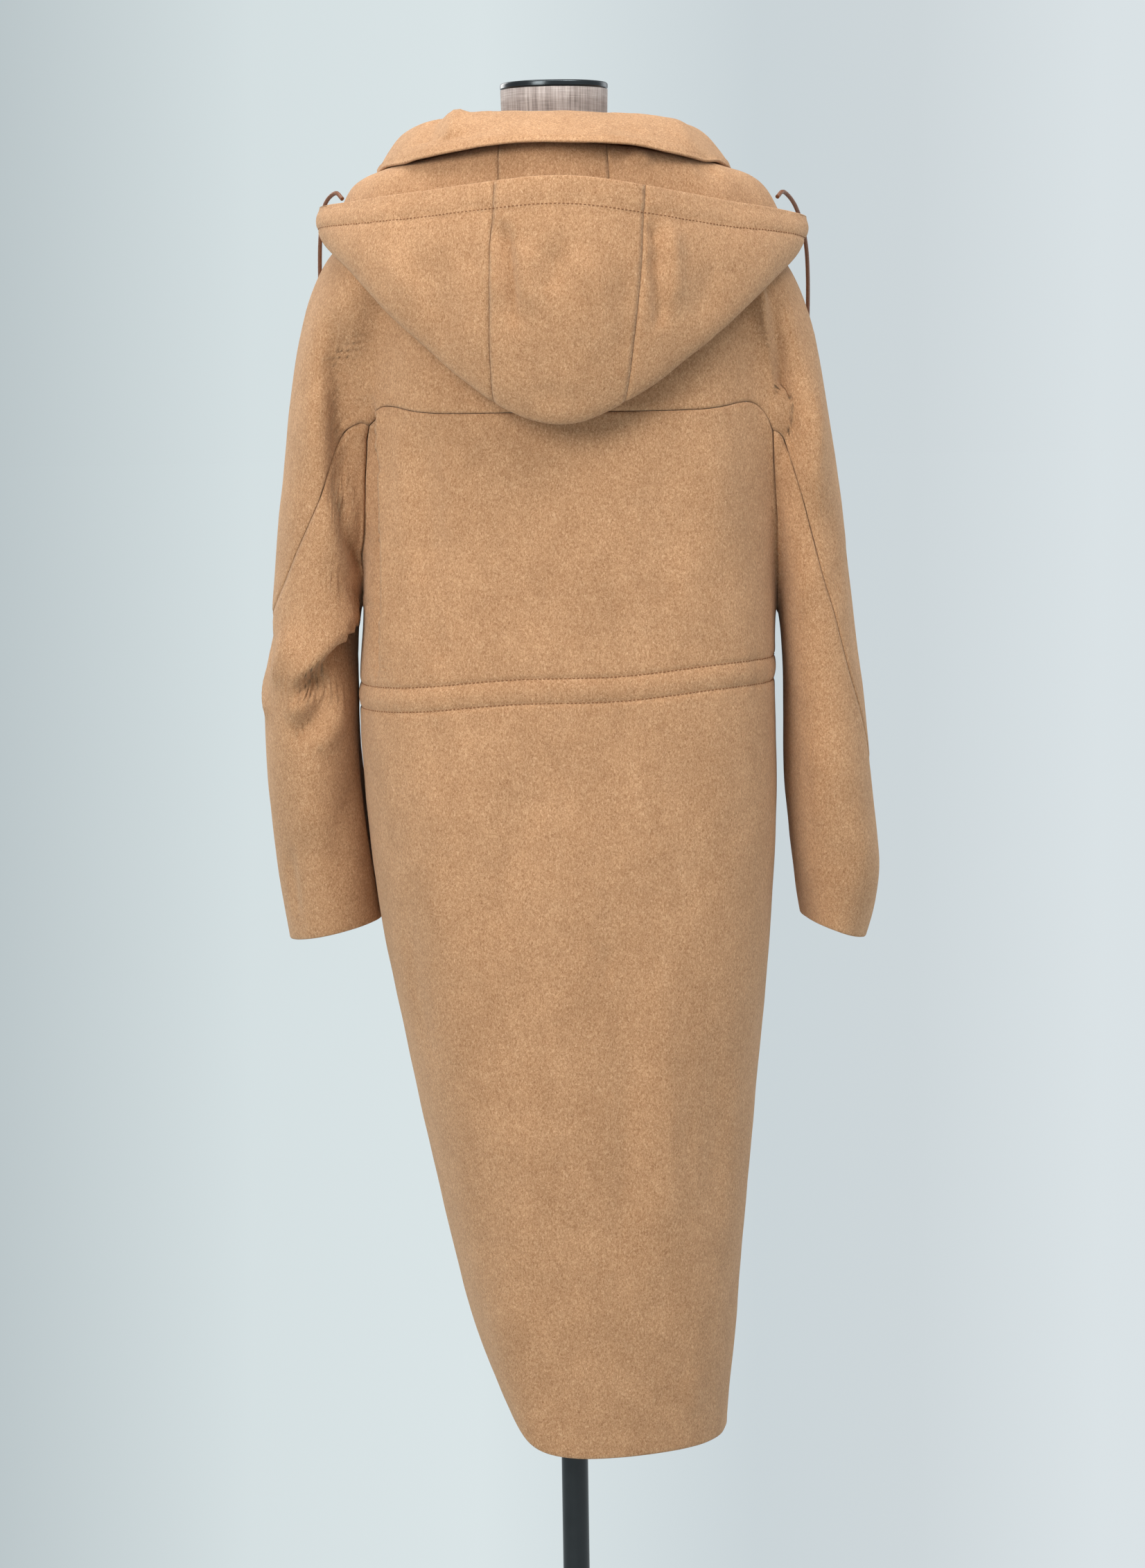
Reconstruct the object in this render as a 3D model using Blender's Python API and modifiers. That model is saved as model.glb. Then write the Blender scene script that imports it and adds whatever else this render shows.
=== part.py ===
"""Hooded long coat of brushed wool on a limbless dress form with a pole and a round foot.

The coat is one cage of rings: rings round both shoulders and sleeves down to the
armholes, then one tube for the body and one for each sleeve. Each ring is worked out
from a row of a table. The smoothed cage is split into the pieces that are sewn
together, and each piece is a wall of cloth with a narrow gap at its seams. The coat's
back faces +Y and its left side is at +X. Metres, +Z up, origin under the pole on the
surface that the foot stands on.
"""

import math

import bmesh
import bpy
import numpy as np
from mathutils import Vector
from mathutils.bvhtree import BVHTree

# ---------------------------------------------------------------- sizes
CLOTH = 0.0030  # thickness of the wool cloth
SEAM_GAP = 0.0006  # between two pieces at a seam
LAP_GAP = 0.0012  # between the two fronts where they lap
CLEAR = 0.0008  # between a piece and what it lies on
PART = 0.0022  # between a sleeve and the side of the body
SMOOTHING = 1  # Catmull-Clark levels of the cloth cages

BACK_COLS = 8  # columns across the back and across the front
ARM_COLS = 8  # columns round the outside of a sleeve
SIDE_COLS = 4  # columns of a side of the body or the inside of a sleeve

CORD_D = 0.0040  # drawcord
POLE_R = 0.0128
FOOT_R = 0.190
FOOT_H = 0.012
NECK_R = 0.0500
NECK_TOP = 1.5935
CAP_H = 0.0060

# Rings round shoulders and sleeves together, neck to armhole, in mm.
# zb, zf: height at the centre back and front. yb, yf: depth there.
# xl, xr: the columns over the left and right armhole corners, with their
# depths ypb, ypf and heights zpb, zpf. ol, or_: outermost x left and right,
# with heights zol, zor, and yo: depth of the outermost line.
YOKE = (
    # zb    yb   zf     yf    xl   ypb  ypf   zpb   zpf   xr   ol   zol   or_  zor   yo
    (1512, 80, 1430, -98, 50, 66, -82, 1511, 1444, 50, 84, 1498, 84, 1498, -6),
    (1478, 100, 1390, -118, 92, 79, -92, 1481, 1412, 92, 148, 1481, 148, 1479, -8),
    (1432, 114, 1352, -128, 136, 82, -96, 1442, 1384, 140, 215, 1461, 222, 1448, -8),
    (1378, 126, 1294, -136, 163, 75, -89, 1386, 1322, 181, 250, 1352, 254, 1312, -5),
    (1322, 131, 1240, -141, 173, 56, -70, 1348, 1250, 195, 276, 1066, 296, 884, 0),
)

# Rings of the body below the armholes, in mm: height at back and front and how much
# higher the left side is, left and right half widths, depths, and how square the
# back and the front are.
BODY = (
    # z    zf   lift  xl    xr    yb    yf   sqb  sqf
    (1112, 1064, 0, 187, 199, 140, -149, 2.8, 2.6),
    (1012, 992, 0, 195, 202, 144, -151, 2.7, 2.5),
    (842, 832, 0, 182, 199, 149, -152, 2.5, 2.4),
    (600, 596, 0, 133, 172, 146, -145, 2.4, 2.4),
    (400, 397, 10, 94, 155, 134, -138, 2.4, 2.4),
    (321, 320, 50, 68, 148, 128, -132, 2.4, 2.4),
)
CROTCH = (  # height, depth and how far in from the armhole corners, in mm
    # zl    zr    y   inl  inr
    (1132, 1112, -8, 14, 11),
)

# Rings of the sleeves below the armholes, in mm: outer and inner x and z in the
# ring's own slanting plane, depth of its middle, half depth.
SLEEVE_L = (
    # xo   zo    xi   zi    ym   hd
    (284, 1006, 196, 1062, -2, 71),
    (284, 946, 193, 990, -8, 65),
    (276, 878, 185, 905, -20, 61),
    (266, 796, 177, 815, -30, 58),
)
SLEEVE_R = (
    (299, 858, 210, 1040, -4, 75),
    (297, 838, 208, 954, -8, 67),
    (294, 816, 214, 880, -15, 63),
    (287, 791, 225, 813, -22, 60),
)

# Stations of the hood from its left end at the throat, over the left tip, round the
# back to the right, in mm. e: the free edge. b: the lowest line of the bag, with
# its roundness r. v: the inside below the collar, rising by hump towards the neck
# seam, which it meets at the angle turn, in degrees from the centre back.
HOOD = (
    # ex   ey    ez    bx   by    bz   r  bulge  vx   vy    vz   hump turn
    (56, -124, 1448, 58, -128, 1438, 5, 0, 50, -118, 1454, 3, 157),
    (106, -106, 1480, 118, -112, 1462, 6, 1, 96, -96, 1488, 4, 138),
    (146, -80, 1502, 166, -86, 1480, 6, 2, 128, -66, 1510, 5, 118),
    (231, 12, 1486, 232, 10, 1465, 6, 3, 194, -4, 1506, 8, 92),
    (206, 62, 1489, 190, 92, 1428, 7, 9, 184, 44, 1516, 9, 72),
    (156, 122, 1492, 144, 138, 1372, 9, 14, 144, 94, 1526, 10, 54),
    (45, 184, 1503, 50, 161, 1288, 11, 18, 39, 132, 1538, 12, 30),
    (-12, 194, 1507, 0, 164, 1275, 12, 18, 0, 138, 1540, 12, 0),
    (-76, 182, 1497, -51, 162, 1288, 11, 18, -34, 132, 1537, 12, -30),
    (-164, 122, 1482, -149, 138, 1360, 9, 14, -142, 94, 1525, 10, -54),
    (-220, 62, 1476, -198, 92, 1414, 7, 9, -186, 44, 1515, 9, -72),
    (-246, 12, 1469, -242, 10, 1447, 6, 3, -200, -4, 1504, 8, -92),
    (-150, -80, 1500, -170, -86, 1478, 6, 2, -128, -66, 1508, 5, -118),
    (-108, -106, 1478, -120, -112, 1460, 6, 1, -96, -96, 1486, 4, -138),
    (-56, -124, 1448, -58, -128, 1438, 5, 0, -50, -118, 1454, 3, -157),
)
# Where the hood's neck edge rises over the bends of the neck seam: the angle, how many
# degrees wide, and how high in mm.
NECK_RIDGE = (
    # turn width high
    (37, 12, 4.0),
    (140, 10, 1.0),
)
HOOD_SEAMS = (6, 8)  # the stations at the two seams of the middle panel

# Stations of the collar from its left end to its right, in mm: t the fold at the
# top, e the free edge, and the angle of the neck seam as for the hood.
COLLAR = (
    # tx   ty    tz    ex    ey    ez   turn
    (26, -132, 1474, 66, -158, 1428, 172),
    (96, -98, 1524, 138, -118, 1484, 130),
    (146, -28, 1557, 178, -22, 1513, 97),
    (126, 46, 1571, 152, 86, 1527, 62),
    (62, 80, 1575, 72, 136, 1538, 30),
    (0, 88, 1572, 0, 148, 1541, 0),
    (-62, 80, 1571, -72, 136, 1538, -30),
    (-124, 46, 1567, -148, 86, 1526, -62),
    (-145, -28, 1553, -177, -22, 1511, -97),
    (-96, -98, 1522, -138, -118, 1482, -130),
    (-26, -132, 1474, -66, -158, 1428, -172),
)

# Rings of the dress form, in mm: height, half width, back and front depth.
FORM = (
    # z    hw   yb    yf
    (800, 128, 88, -86),
    (806, 136, 94, -92),
    (900, 150, 100, -96),
    (1000, 132, 84, -84),
    (1080, 118, 74, -78),
    (1180, 128, 84, -98),
    (1290, 150, 98, -116),
    (1370, 168, 92, -104),
    (1412, 178, 78, -88),
    (1438, 183, 66, -72),
    (1455, 178, 56, -60),
    (1468, 152, 50, -54),
    (1476, 122, 49, -52),
    (1486, 86, 49, -51),
    (1496, 62, 50, -51),
    (1514, 53, 51, -51),
    (1542, 49, 49, -49),
    (1593.5, 50, 50, -50),
)

# Routes of the drawcords, from the eyelet at the end of the casing down over the
# front of the sleeve, in mm.
CORD_L = ((199, 4, 1496), (206, -6, 1502), (217, -22, 1492), (223, -44, 1466), (226, -68, 1424), (226, -84, 1360), (224, -92, 1290), (222, -94, 1230))
CORD_R = ((-207, 4, 1492), (-214, -8, 1497), (-226, -26, 1484), (-236, -50, 1456), (-240, -72, 1420), (-240, -88, 1360), (-238, -95, 1290), (-236, -98, 1225))

MM = 0.001

# ---------------------------------------------------------------- clean scene
for old in list(bpy.data.objects):
    bpy.data.objects.remove(old, do_unlink=True)
for block in (bpy.data.meshes, bpy.data.curves, bpy.data.materials):
    for old in list(block):
        block.remove(old)
parts = bpy.data.collections.new("long_coat_on_dress_form")
guides = bpy.data.collections.new("cages")
bpy.context.scene.collection.children.link(parts)
bpy.context.scene.collection.children.link(guides)


def material(name, colour, roughness, metallic=0.0):
    mat = bpy.data.materials.new(name)
    mat.use_nodes = True
    shader = mat.node_tree.nodes["Principled BSDF"]
    shader.inputs["Base Color"].default_value = (*colour, 1.0)
    shader.inputs["Roughness"].default_value = roughness
    shader.inputs["Metallic"].default_value = metallic
    mat.diffuse_color = (*colour, 1.0)
    return mat


WOOL = (0.50, 0.29, 0.13)
LINEN = (0.27, 0.22, 0.19)
LEATHER = (0.20, 0.075, 0.032)
STEEL = (0.06, 0.07, 0.08)
BLACK = (0.018, 0.022, 0.026)


# ---------------------------------------------------------------- the body cage
def hull(columns):
    """How much a control polygon stands outside its smooth ring."""
    return 1.0 / (2.0 / 3.0 + math.cos(2.0 * math.pi / columns) / 3.0)


def signed_power(value, power):
    return math.copysign(abs(value) ** power, value)


class Cage:
    """Vertices found by key, and faces with the name of the piece they belong to."""

    def __init__(self):
        self.points, self.index, self.faces, self.labels, self.under, self.place = [], {}, [], [], [], []

    def put(self, key, point, under=0.0):
        self.index[key] = len(self.points)
        self.points.append(tuple(p * MM for p in point))
        self.under.append(under)
        self.place.append({"body": -1.0, "arm": 1.0, "sleeve": 1.0}.get(key[0].rstrip("LR"), 0.0))

    def quad(self, keys, label):
        self.faces.append(tuple(self.index[key] for key in keys))
        self.labels.append(label)


def arc_weight(cols, i):
    """0 at the ends of an arc of columns and 1 at its middle, level there."""
    angle = math.radians(120.0 - 240.0 * i / cols)
    return (math.cos(angle) + 0.5) / 1.5, math.sin(angle)


def side_sign(side):
    return 1.0 if side == "L" else -1.0


def body_cage():
    cage = Cage()
    half = BACK_COLS // 2
    rows = len(YOKE)
    lap = (half - 1, half, half + 1)
    # rings round shoulders and sleeves
    for k, row in enumerate(YOKE):
        zb, yb, zf, yf, xl, ypb, ypf, zpb, zpf, xr, ol, zol, orr, zor, yo = row
        for i in range(BACK_COLS + 1):
            turn = math.radians(60.0 * (i - half) / half)  # right to left
            w = ((1.0 - math.cos(turn)) / 0.5) ** (1.0 + 0.25 * k)
            x = (xl if i > half else xr) * math.sin(turn) / math.sin(math.radians(60.0))
            low = ((1.0 - math.cos(turn)) / 0.5) ** (1.0 + 0.7 * k)
            cage.put(("back", k, i), (x, yb + (ypb - yb) * w, zb + (zpb - zb) * low))
            w = (1.0 - math.cos(turn)) / 0.5
            cage.put(("front", k, i), (x, yf + (ypf - yf) * w, zf + (zpf - zf) * w), 1.0 if i in lap else 0.0)
        for side, xp, xo, zo in (("L", xl, ol, zol), ("R", xr, orr, zor)):
            sign = side_sign(side)
            middle, depth = (ypb + ypf) / 2.0, (ypb - ypf) / 2.0 / math.sin(math.radians(120.0))
            for i in range(1, ARM_COLS):
                w, s = arc_weight(ARM_COLS, i)
                corner = zpb + (zpf - zpb) * i / ARM_COLS
                over = hull(3 * ARM_COLS // 2)
                spread = w**1.05 if k == len(YOKE) - 1 else w
                cage.put(
                    ("arm" + side, k, i),
                    (sign * (xp + (xo - xp) * spread * over), middle + depth * s + (yo - middle) * w * w, corner + (zo - corner) * w**1.25),
                )
    # the body below
    for k, (z, zf, lift, xl, xr, yb, yf, sqb, sqf) in enumerate(BODY):
        grow = hull(2 * (BACK_COLS + SIDE_COLS))
        total = 2 * (BACK_COLS + SIDE_COLS)
        for j in range(total):
            turn = 2.0 * math.pi * j / total  # from the centre back towards the left
            front = 0.5 - 0.5 * math.cos(turn)
            square = 2.0 / (sqb + (sqf - sqb) * front)
            cx, a = (xl - xr) / 2.0, (xl + xr) / 2.0
            cy, b = (yb + yf) / 2.0, (yb - yf) / 2.0
            x = cx * (1.0 - abs(math.cos(turn)) ** 3) * 1.0 + a * grow * signed_power(math.sin(turn), square)
            y = cy + b * grow * signed_power(math.cos(turn), square)
            lapped = abs(j - total // 2) <= 1
            rise = lift * max(0.0, math.sin(turn)) ** 1.6
            cage.put(("body", k, j), (x, y, z + (zf - z) * front + rise), 1.0 if lapped else 0.0)
    # the crotch of each armhole, from its back corner to its front corner
    (zl, zr, yc, inl, inr), last = CROTCH[0], rows - 1
    for side, zc, inward in (("L", zl, inl), ("R", zr, inr)):
        sign = side_sign(side)
        edge = BACK_COLS if side == "L" else 0
        back, front = (np.array(cage.points[cage.index[(face, last, edge)]]) / MM for face in ("back", "front"))
        for i in range(1, SIDE_COLS):
            f = i / SIDE_COLS
            low = math.sin(math.pi * f)
            p = back + (front - back) * f
            p[2] += (zc - p[2]) * low ** 0.8
            p[0] += sign * inward * low
            cage.put(("crotch" + side, i), tuple(p))
    # the sleeves below
    for side, table in (("L", SLEEVE_L), ("R", SLEEVE_R)):
        sign = side_sign(side)
        total = ARM_COLS + SIDE_COLS
        grow = hull(total)
        for k, (xo, zo, xi, zi, ym, hd) in enumerate(table):
            for i in range(total):
                angle = math.radians(120.0 - 360.0 * i / total)  # from the back corner, outwards
                w = math.cos(angle) * grow
                x, z = (xo + xi) / 2.0 + (xo - xi) / 2.0 * w, (zo + zi) / 2.0 + (zo - zi) / 2.0 * w
                cage.put(("sleeve" + side, k, i), (sign * x, ym + hd * grow * math.sin(angle), z))

    # faces, row by row. Every quad runs the same way round seen from outside.
    def ring_key(kind, k, i):
        return (kind, k, i)

    for k in range(rows - 1):
        for i in range(BACK_COLS):
            cage.quad((("back", k, i), ("back", k, i + 1), ("back", k + 1, i + 1), ("back", k + 1, i)), "yoke_back")
            label = "front_right" if i < half + 1 else "front_left"
            cage.quad((("front", k, i), ("front", k + 1, i), ("front", k + 1, i + 1), ("front", k, i + 1)), label)
        for side in "LR":
            corner = BACK_COLS if side == "L" else 0

            def arm(row, i):
                if i == 0:
                    return ("back", row, corner)
                if i == ARM_COLS:
                    return ("front", row, corner)
                return ("arm" + side, row, i)

            for i in range(ARM_COLS):
                keys = [arm(k, i), arm(k, i + 1), arm(k + 1, i + 1), arm(k + 1, i)]
                label = "yoke_back" if i < ARM_COLS // 2 else "sleeve_left" if side == "L" else "sleeve_right"
                cage.quad(keys if side == "L" else keys[::-1], label)
    total = 2 * (BACK_COLS + SIDE_COLS)

    def body(row, j):
        j %= total
        if row >= 0:
            return ("body", row, j)
        if j <= half:
            return ("back", rows - 1, half + j)
        if j < half + SIDE_COLS:
            return ("crotchL", j - half)
        if j <= half + SIDE_COLS + BACK_COLS:
            return ("front", rows - 1, BACK_COLS - (j - half - SIDE_COLS))
        if j < half + 2 * SIDE_COLS + BACK_COLS:
            return ("crotchR", SIDE_COLS - (j - half - SIDE_COLS - BACK_COLS))
        return ("back", rows - 1, j - total + half)

    quarter = total // 4
    for k in range(-1, len(BODY) - 1):
        for j in range(total):
            if j < quarter or j >= 3 * quarter:
                label = "back_panel"
            elif j < 2 * quarter - 1:
                label = "front_left"
            else:
                label = "front_right"
            cage.quad((body(k, j), body(k, j + 1), body(k + 1, j + 1), body(k + 1, j)), label)
    around = ARM_COLS + SIDE_COLS
    for side in "LR":
        corner = BACK_COLS if side == "L" else 0

        def sleeve(row, i):
            i %= around
            if row >= 0:
                return ("sleeve" + side, row, i)
            if i == 0:
                return ("back", rows - 1, corner)
            if i < ARM_COLS:
                return ("arm" + side, rows - 1, i)
            if i == ARM_COLS:
                return ("front", rows - 1, corner)
            return ("crotch" + side, around - i)

        for k in range(-1, len(SLEEVE_L) - 1):
            for i in range(around):
                keys = [sleeve(k, i), sleeve(k, i + 1), sleeve(k + 1, i + 1), sleeve(k + 1, i)]
                cage.quad(keys if side == "L" else keys[::-1], "sleeve_left" if side == "L" else "sleeve_right")
    return cage


# ---------------------------------------------------------------- hood and collar cages
def hood_cage(neck):
    cage = Cage()
    for s, (ex, ey, ez, bx, by, bz, r, bulge, vx, vy, vz, hump, turn) in enumerate(HOOD):
        e, b, v = (np.array(p, float) for p in ((ex, ey, ez), (bx, by, bz), (vx, vy, vz)))
        n = neck(turn, "hood") / MM
        out = np.array((bx, max(by, 0.0) + 60.0 if by > 0 else by, 0.0))
        out /= np.linalg.norm(out)
        up = np.array((0.0, 0.0, 1.0))
        front = b + out * r + up * r
        behind = b - out * r + up * r
        points = [
            e,
            e + (front - e) * 0.42 + out * bulge,
            front + up * r * 0.6 + out * bulge * 0.4,
            b,
            behind + up * r * 0.6,
            behind + (v - behind) * 0.6,
            v,
            v + (n - v) * 0.45 + up * (hump + 0.45 * max(0.0, n[2] - v[2])),
            n,
        ]
        for row, p in enumerate(points):
            cage.put(("hood", s, row), p, 1.0 if row == 8 else 0.0)
    for s in range(len(HOOD) - 1):
        label = "hood_side_left" if s < HOOD_SEAMS[0] else "hood_side_right" if s >= HOOD_SEAMS[1] else "hood_middle"
        for row in range(8):
            cage.quad((("hood", s, row), ("hood", s, row + 1), ("hood", s + 1, row + 1), ("hood", s + 1, row)), label)
    return cage


def collar_cage(neck):
    cage = Cage()
    for s, (tx, ty, tz, ex, ey, ez, turn) in enumerate(COLLAR):
        t, e, n = np.array((tx, ty, tz), float), np.array((ex, ey, ez), float), neck(turn, "collar") / MM
        fall = e - t
        points = [e, t + fall * 0.22 + np.array((0, 0, 4.0)), t + (n - t) * 0.22 - fall * 0.16, n]
        for row, p in enumerate(points):
            cage.put(("collar", s, row), p, 1.0 if row == 3 else 0.0)
    for s in range(len(COLLAR) - 1):
        for row in range(3):
            cage.quad((("collar", s, row), ("collar", s, row + 1), ("collar", s + 1, row + 1), ("collar", s + 1, row)), "collar")
    return cage


def azimuth(points):
    """Angle round the neck, in degrees from the centre back towards the left."""
    points = np.atleast_2d(points)
    return np.degrees(np.arctan2(points[:, 0], points[:, 1] + 0.012))


def neckline(points, faces, normals):
    """The coat's neck seam, and where a piece sewn to it at an angle begins."""
    count = {}
    for face in faces:
        for a, b in zip(face, face[1:] + face[:1]):
            count.setdefault(frozenset((a, b)), []).append(face)
    rim = [e for e, f in count.items() if len(f) == 1 and points[list(e)][:, 2].min() > 1.40]
    off = {}
    for edge in rim:
        a, b = tuple(edge)
        along = (points[b] - points[a]) / np.linalg.norm(points[b] - points[a])
        away = (points[a] + points[b]) / 2.0 - points[list(count[edge][0])].mean(axis=0)
        away -= along * (away @ along)
        for i in (a, b):
            off[i] = off.get(i, 0.0) + away / np.linalg.norm(away)
    ids = np.array(sorted(off, key=lambda i: azimuth(points[i])[0]))
    ids = np.concatenate([ids[-2:], ids, ids[:2]])
    at = azimuth(points[ids])
    at[:2] -= 360.0
    at[-2:] += 360.0
    edge = np.array([off[i] / np.linalg.norm(off[i]) for i in ids])

    def neck(turn, piece):
        p, n, e = (np.array([np.interp(turn, at, rows[:, k]) for k in range(3)]) for rows in (points[ids], normals[ids], edge))
        if piece == "hood":
            lift = sum(high * MM * math.exp(-(((abs(turn) - middle) / width) ** 2)) for middle, width, high in NECK_RIDGE)
            return p + n * (CLEAR * 2.5 + lift) - e * 0.001
        flat = np.linalg.norm(e[:2])
        return p + e * (SEAM_GAP + CLOTH * flat) - n * CLOTH * (1.0 - flat)

    return neck


def sewn_on(points, faces, under, neck, piece):
    """The piece with its edge at the neck moved exactly onto the neck seam."""
    edge = np.flatnonzero(under > 0.99)
    edge = edge[np.argsort(azimuth(points[edge]))]
    turn = azimuth(points[edge])
    move = np.array([neck(t, piece) for t in turn]) - points[edge]
    every = azimuth(points)
    shift = np.column_stack([np.interp(every, turn, move[:, k]) for k in range(3)])
    return points + shift * under[:, None]


def clear_of(points, movable, ground, faces, gap):
    """These points moved out to at least the gap from a surface that they lie against."""
    tree = BVHTree.FromPolygons([Vector(p) for p in ground], faces)
    points = points.copy()
    for i in movable:
        for _ in range(2):
            near, normal, _, far = tree.find_nearest(Vector(points[i]), 0.03)
            if near is None or far < 1e-6:
                break
            height = (Vector(points[i]) - near).dot(normal)
            if height >= gap[i] or height < -0.012:
                break
            points[i] += np.array(normal) * (gap[i] - height)
    return points


# ---------------------------------------------------------------- folds
# The largest folds of the back, in mm: from (x0, z0) to (x1, z1) as seen from
# behind, how wide and how high, troughs below zero.
FOLDS = (
    # x0   z0    x1    z1    width height
    (164, 1262, 168, 1040, 16, 6),  # left edge of the back panel
    (205, 1305, 205, 1215, 20, -8),  # above the left elbow
    (166, 1150, 203, 1100, 18, 7),  # cloth hanging over the left elbow
    (203, 1100, 246, 1056, 18, 7),
    (182, 1092, 236, 1036, 16, -10),  # hollow under it
    (-186, 1405, -194, 1335, 15, -9),  # right shoulder falling in beside the back
    (-40, 820, -36, 470, 26, -4),  # skirt
    (60, 880, 40, 560, 34, 3),
)


def fold_heights(points, normals):
    """How far each point moves out along its normal."""
    height = np.zeros(len(points))
    for x0, z0, x1, z1, width, rise in FOLDS:
        a, b = np.array((x0, z0)) * MM, np.array((x1, z1)) * MM
        flat = points[:, (0, 2)]
        along = np.clip(((flat - a) @ (b - a)) / ((b - a) @ (b - a)), 0.0, 1.0)
        far = np.linalg.norm(flat - (a + along[:, None] * (b - a)), axis=1)
        facing = np.clip(normals[:, 1] * 2.5, 0.0, 1.0) * (points[:, 1] > 0.0)
        height += rise * MM * np.exp(-((far / (width * MM)) ** 2)) * facing
    return height


def vertex_normals(points, faces):
    corners = np.array(faces)
    across = np.cross(points[corners[:, 2]] - points[corners[:, 0]], points[corners[:, 3]] - points[corners[:, 1]])
    normals = np.zeros_like(points)
    for i in range(4):
        np.add.at(normals, corners[:, i], across)
    return normals / np.linalg.norm(normals, axis=1)[:, None]


# ---------------------------------------------------------------- smoothing
def smooth(cage, name, levels):
    """The cage through a Subdivision Surface: points, faces, labels, lap values and normals."""
    mesh = bpy.data.meshes.new(name)
    mesh.from_pydata(cage.points, [], cage.faces)
    names = sorted(set(cage.labels))
    for face, label in zip(mesh.polygons, cage.labels):
        face.material_index = names.index(label)
    for _ in names:
        mesh.materials.append(None)
    for title, values in (("under", cage.under), ("place", cage.place)):
        mesh.attributes.new(title, "FLOAT", "POINT").data.foreach_set("value", values)
    obj = bpy.data.objects.new(name, mesh)
    guides.objects.link(obj)
    obj.display_type = "WIRE"
    obj.hide_render = True
    subdivision = obj.modifiers.new("smooth", "SUBSURF")
    subdivision.levels = subdivision.render_levels = levels
    subdivision.boundary_smooth = "PRESERVE_CORNERS"
    bpy.context.view_layer.update()
    evaluated = obj.evaluated_get(bpy.context.evaluated_depsgraph_get())
    out = evaluated.to_mesh()
    points = np.array([v.co[:] for v in out.vertices])
    normals = np.array([v.normal[:] for v in out.vertices])
    faces = [tuple(p.vertices) for p in out.polygons]
    labels = [names[p.material_index] for p in out.polygons]
    under, place = (np.array([d.value for d in out.attributes[title].data]) for title in ("under", "place"))
    evaluated.to_mesh_clear()
    bpy.data.objects.remove(obj)
    return points, faces, labels, under, place, normals


# ---------------------------------------------------------------- pieces of cloth
def inward_of(points, edge, face):
    """From an edge of a face into the face, square to the edge."""
    a, b = tuple(edge)
    along = (points[b] - points[a]) / np.linalg.norm(points[b] - points[a])
    middle = points[list(face)].mean(axis=0) - (points[a] + points[b]) / 2.0
    inward = middle - along * (middle @ along)
    return inward / np.linalg.norm(inward)


def shell(name, points, normals, faces, seam_edges, mat, meeting, sink=None):
    """A wall of cloth on these faces: the outside at the points, the inside a
    thickness in, drawn back half the gap from each seam."""
    used = sorted({i for face in faces for i in face})
    count, owner = {}, {}
    for face in faces:
        for a, b in zip(face, face[1:] + face[:1]):
            count[frozenset((a, b))] = count.get(frozenset((a, b)), 0) + 1
            owner[frozenset((a, b))] = face
    border = [edge for edge, n in count.items() if n == 1]
    pull, tight = {}, {}
    for edge in border:
        if edge not in seam_edges:
            continue
        own = inward_of(points, edge, owner[edge])
        other = next(inward_of(points, edge, face) for face in meeting[edge] if face != owner[edge])
        way = (own - other) / np.linalg.norm(own - other)
        for i in edge:
            pull.setdefault(i, []).append(way)
            tight[i] = max(tight.get(i, 0.0), 1.0 + float(own @ other))
    outer, inner = {}, {}
    mesh = bmesh.new()
    for i in used:
        p, n = points[i].copy(), normals[i]
        if i in pull:
            ways = pull[i]
            mean = sum(ways) / len(ways)
            mean /= max(np.linalg.norm(mean), 1e-9)
            cosine = max(0.35, min(float(mean @ way) for way in ways))
            p += mean * (SEAM_GAP / 2.0 / cosine) * (1.0 + 2.0 * tight[i])
        if sink is not None:
            p -= n * sink[i]
        outer[i] = mesh.verts.new(p)
        inner[i] = mesh.verts.new(p - n * CLOTH)
    for face in faces:
        mesh.faces.new([outer[i] for i in face])
        mesh.faces.new([inner[i] for i in reversed(face)])
    for edge in border:
        face = owner[edge]
        at = [face.index(i) for i in edge]
        a, b = (face[at[0]], face[at[1]]) if (at[0] + 1) % len(face) == at[1] else (face[at[1]], face[at[0]])
        mesh.faces.new((outer[b], outer[a], inner[a], inner[b]))
    mesh.normal_update()
    bmesh.ops.recalc_face_normals(mesh, faces=mesh.faces)
    data = bpy.data.meshes.new(name)
    mesh.to_mesh(data)
    mesh.free()
    data.shade_smooth()
    data.set_sharp_from_angle(angle=math.radians(50))
    data.materials.append(mat)
    obj = bpy.data.objects.new(name, data)
    parts.objects.link(obj)
    return obj


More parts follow.
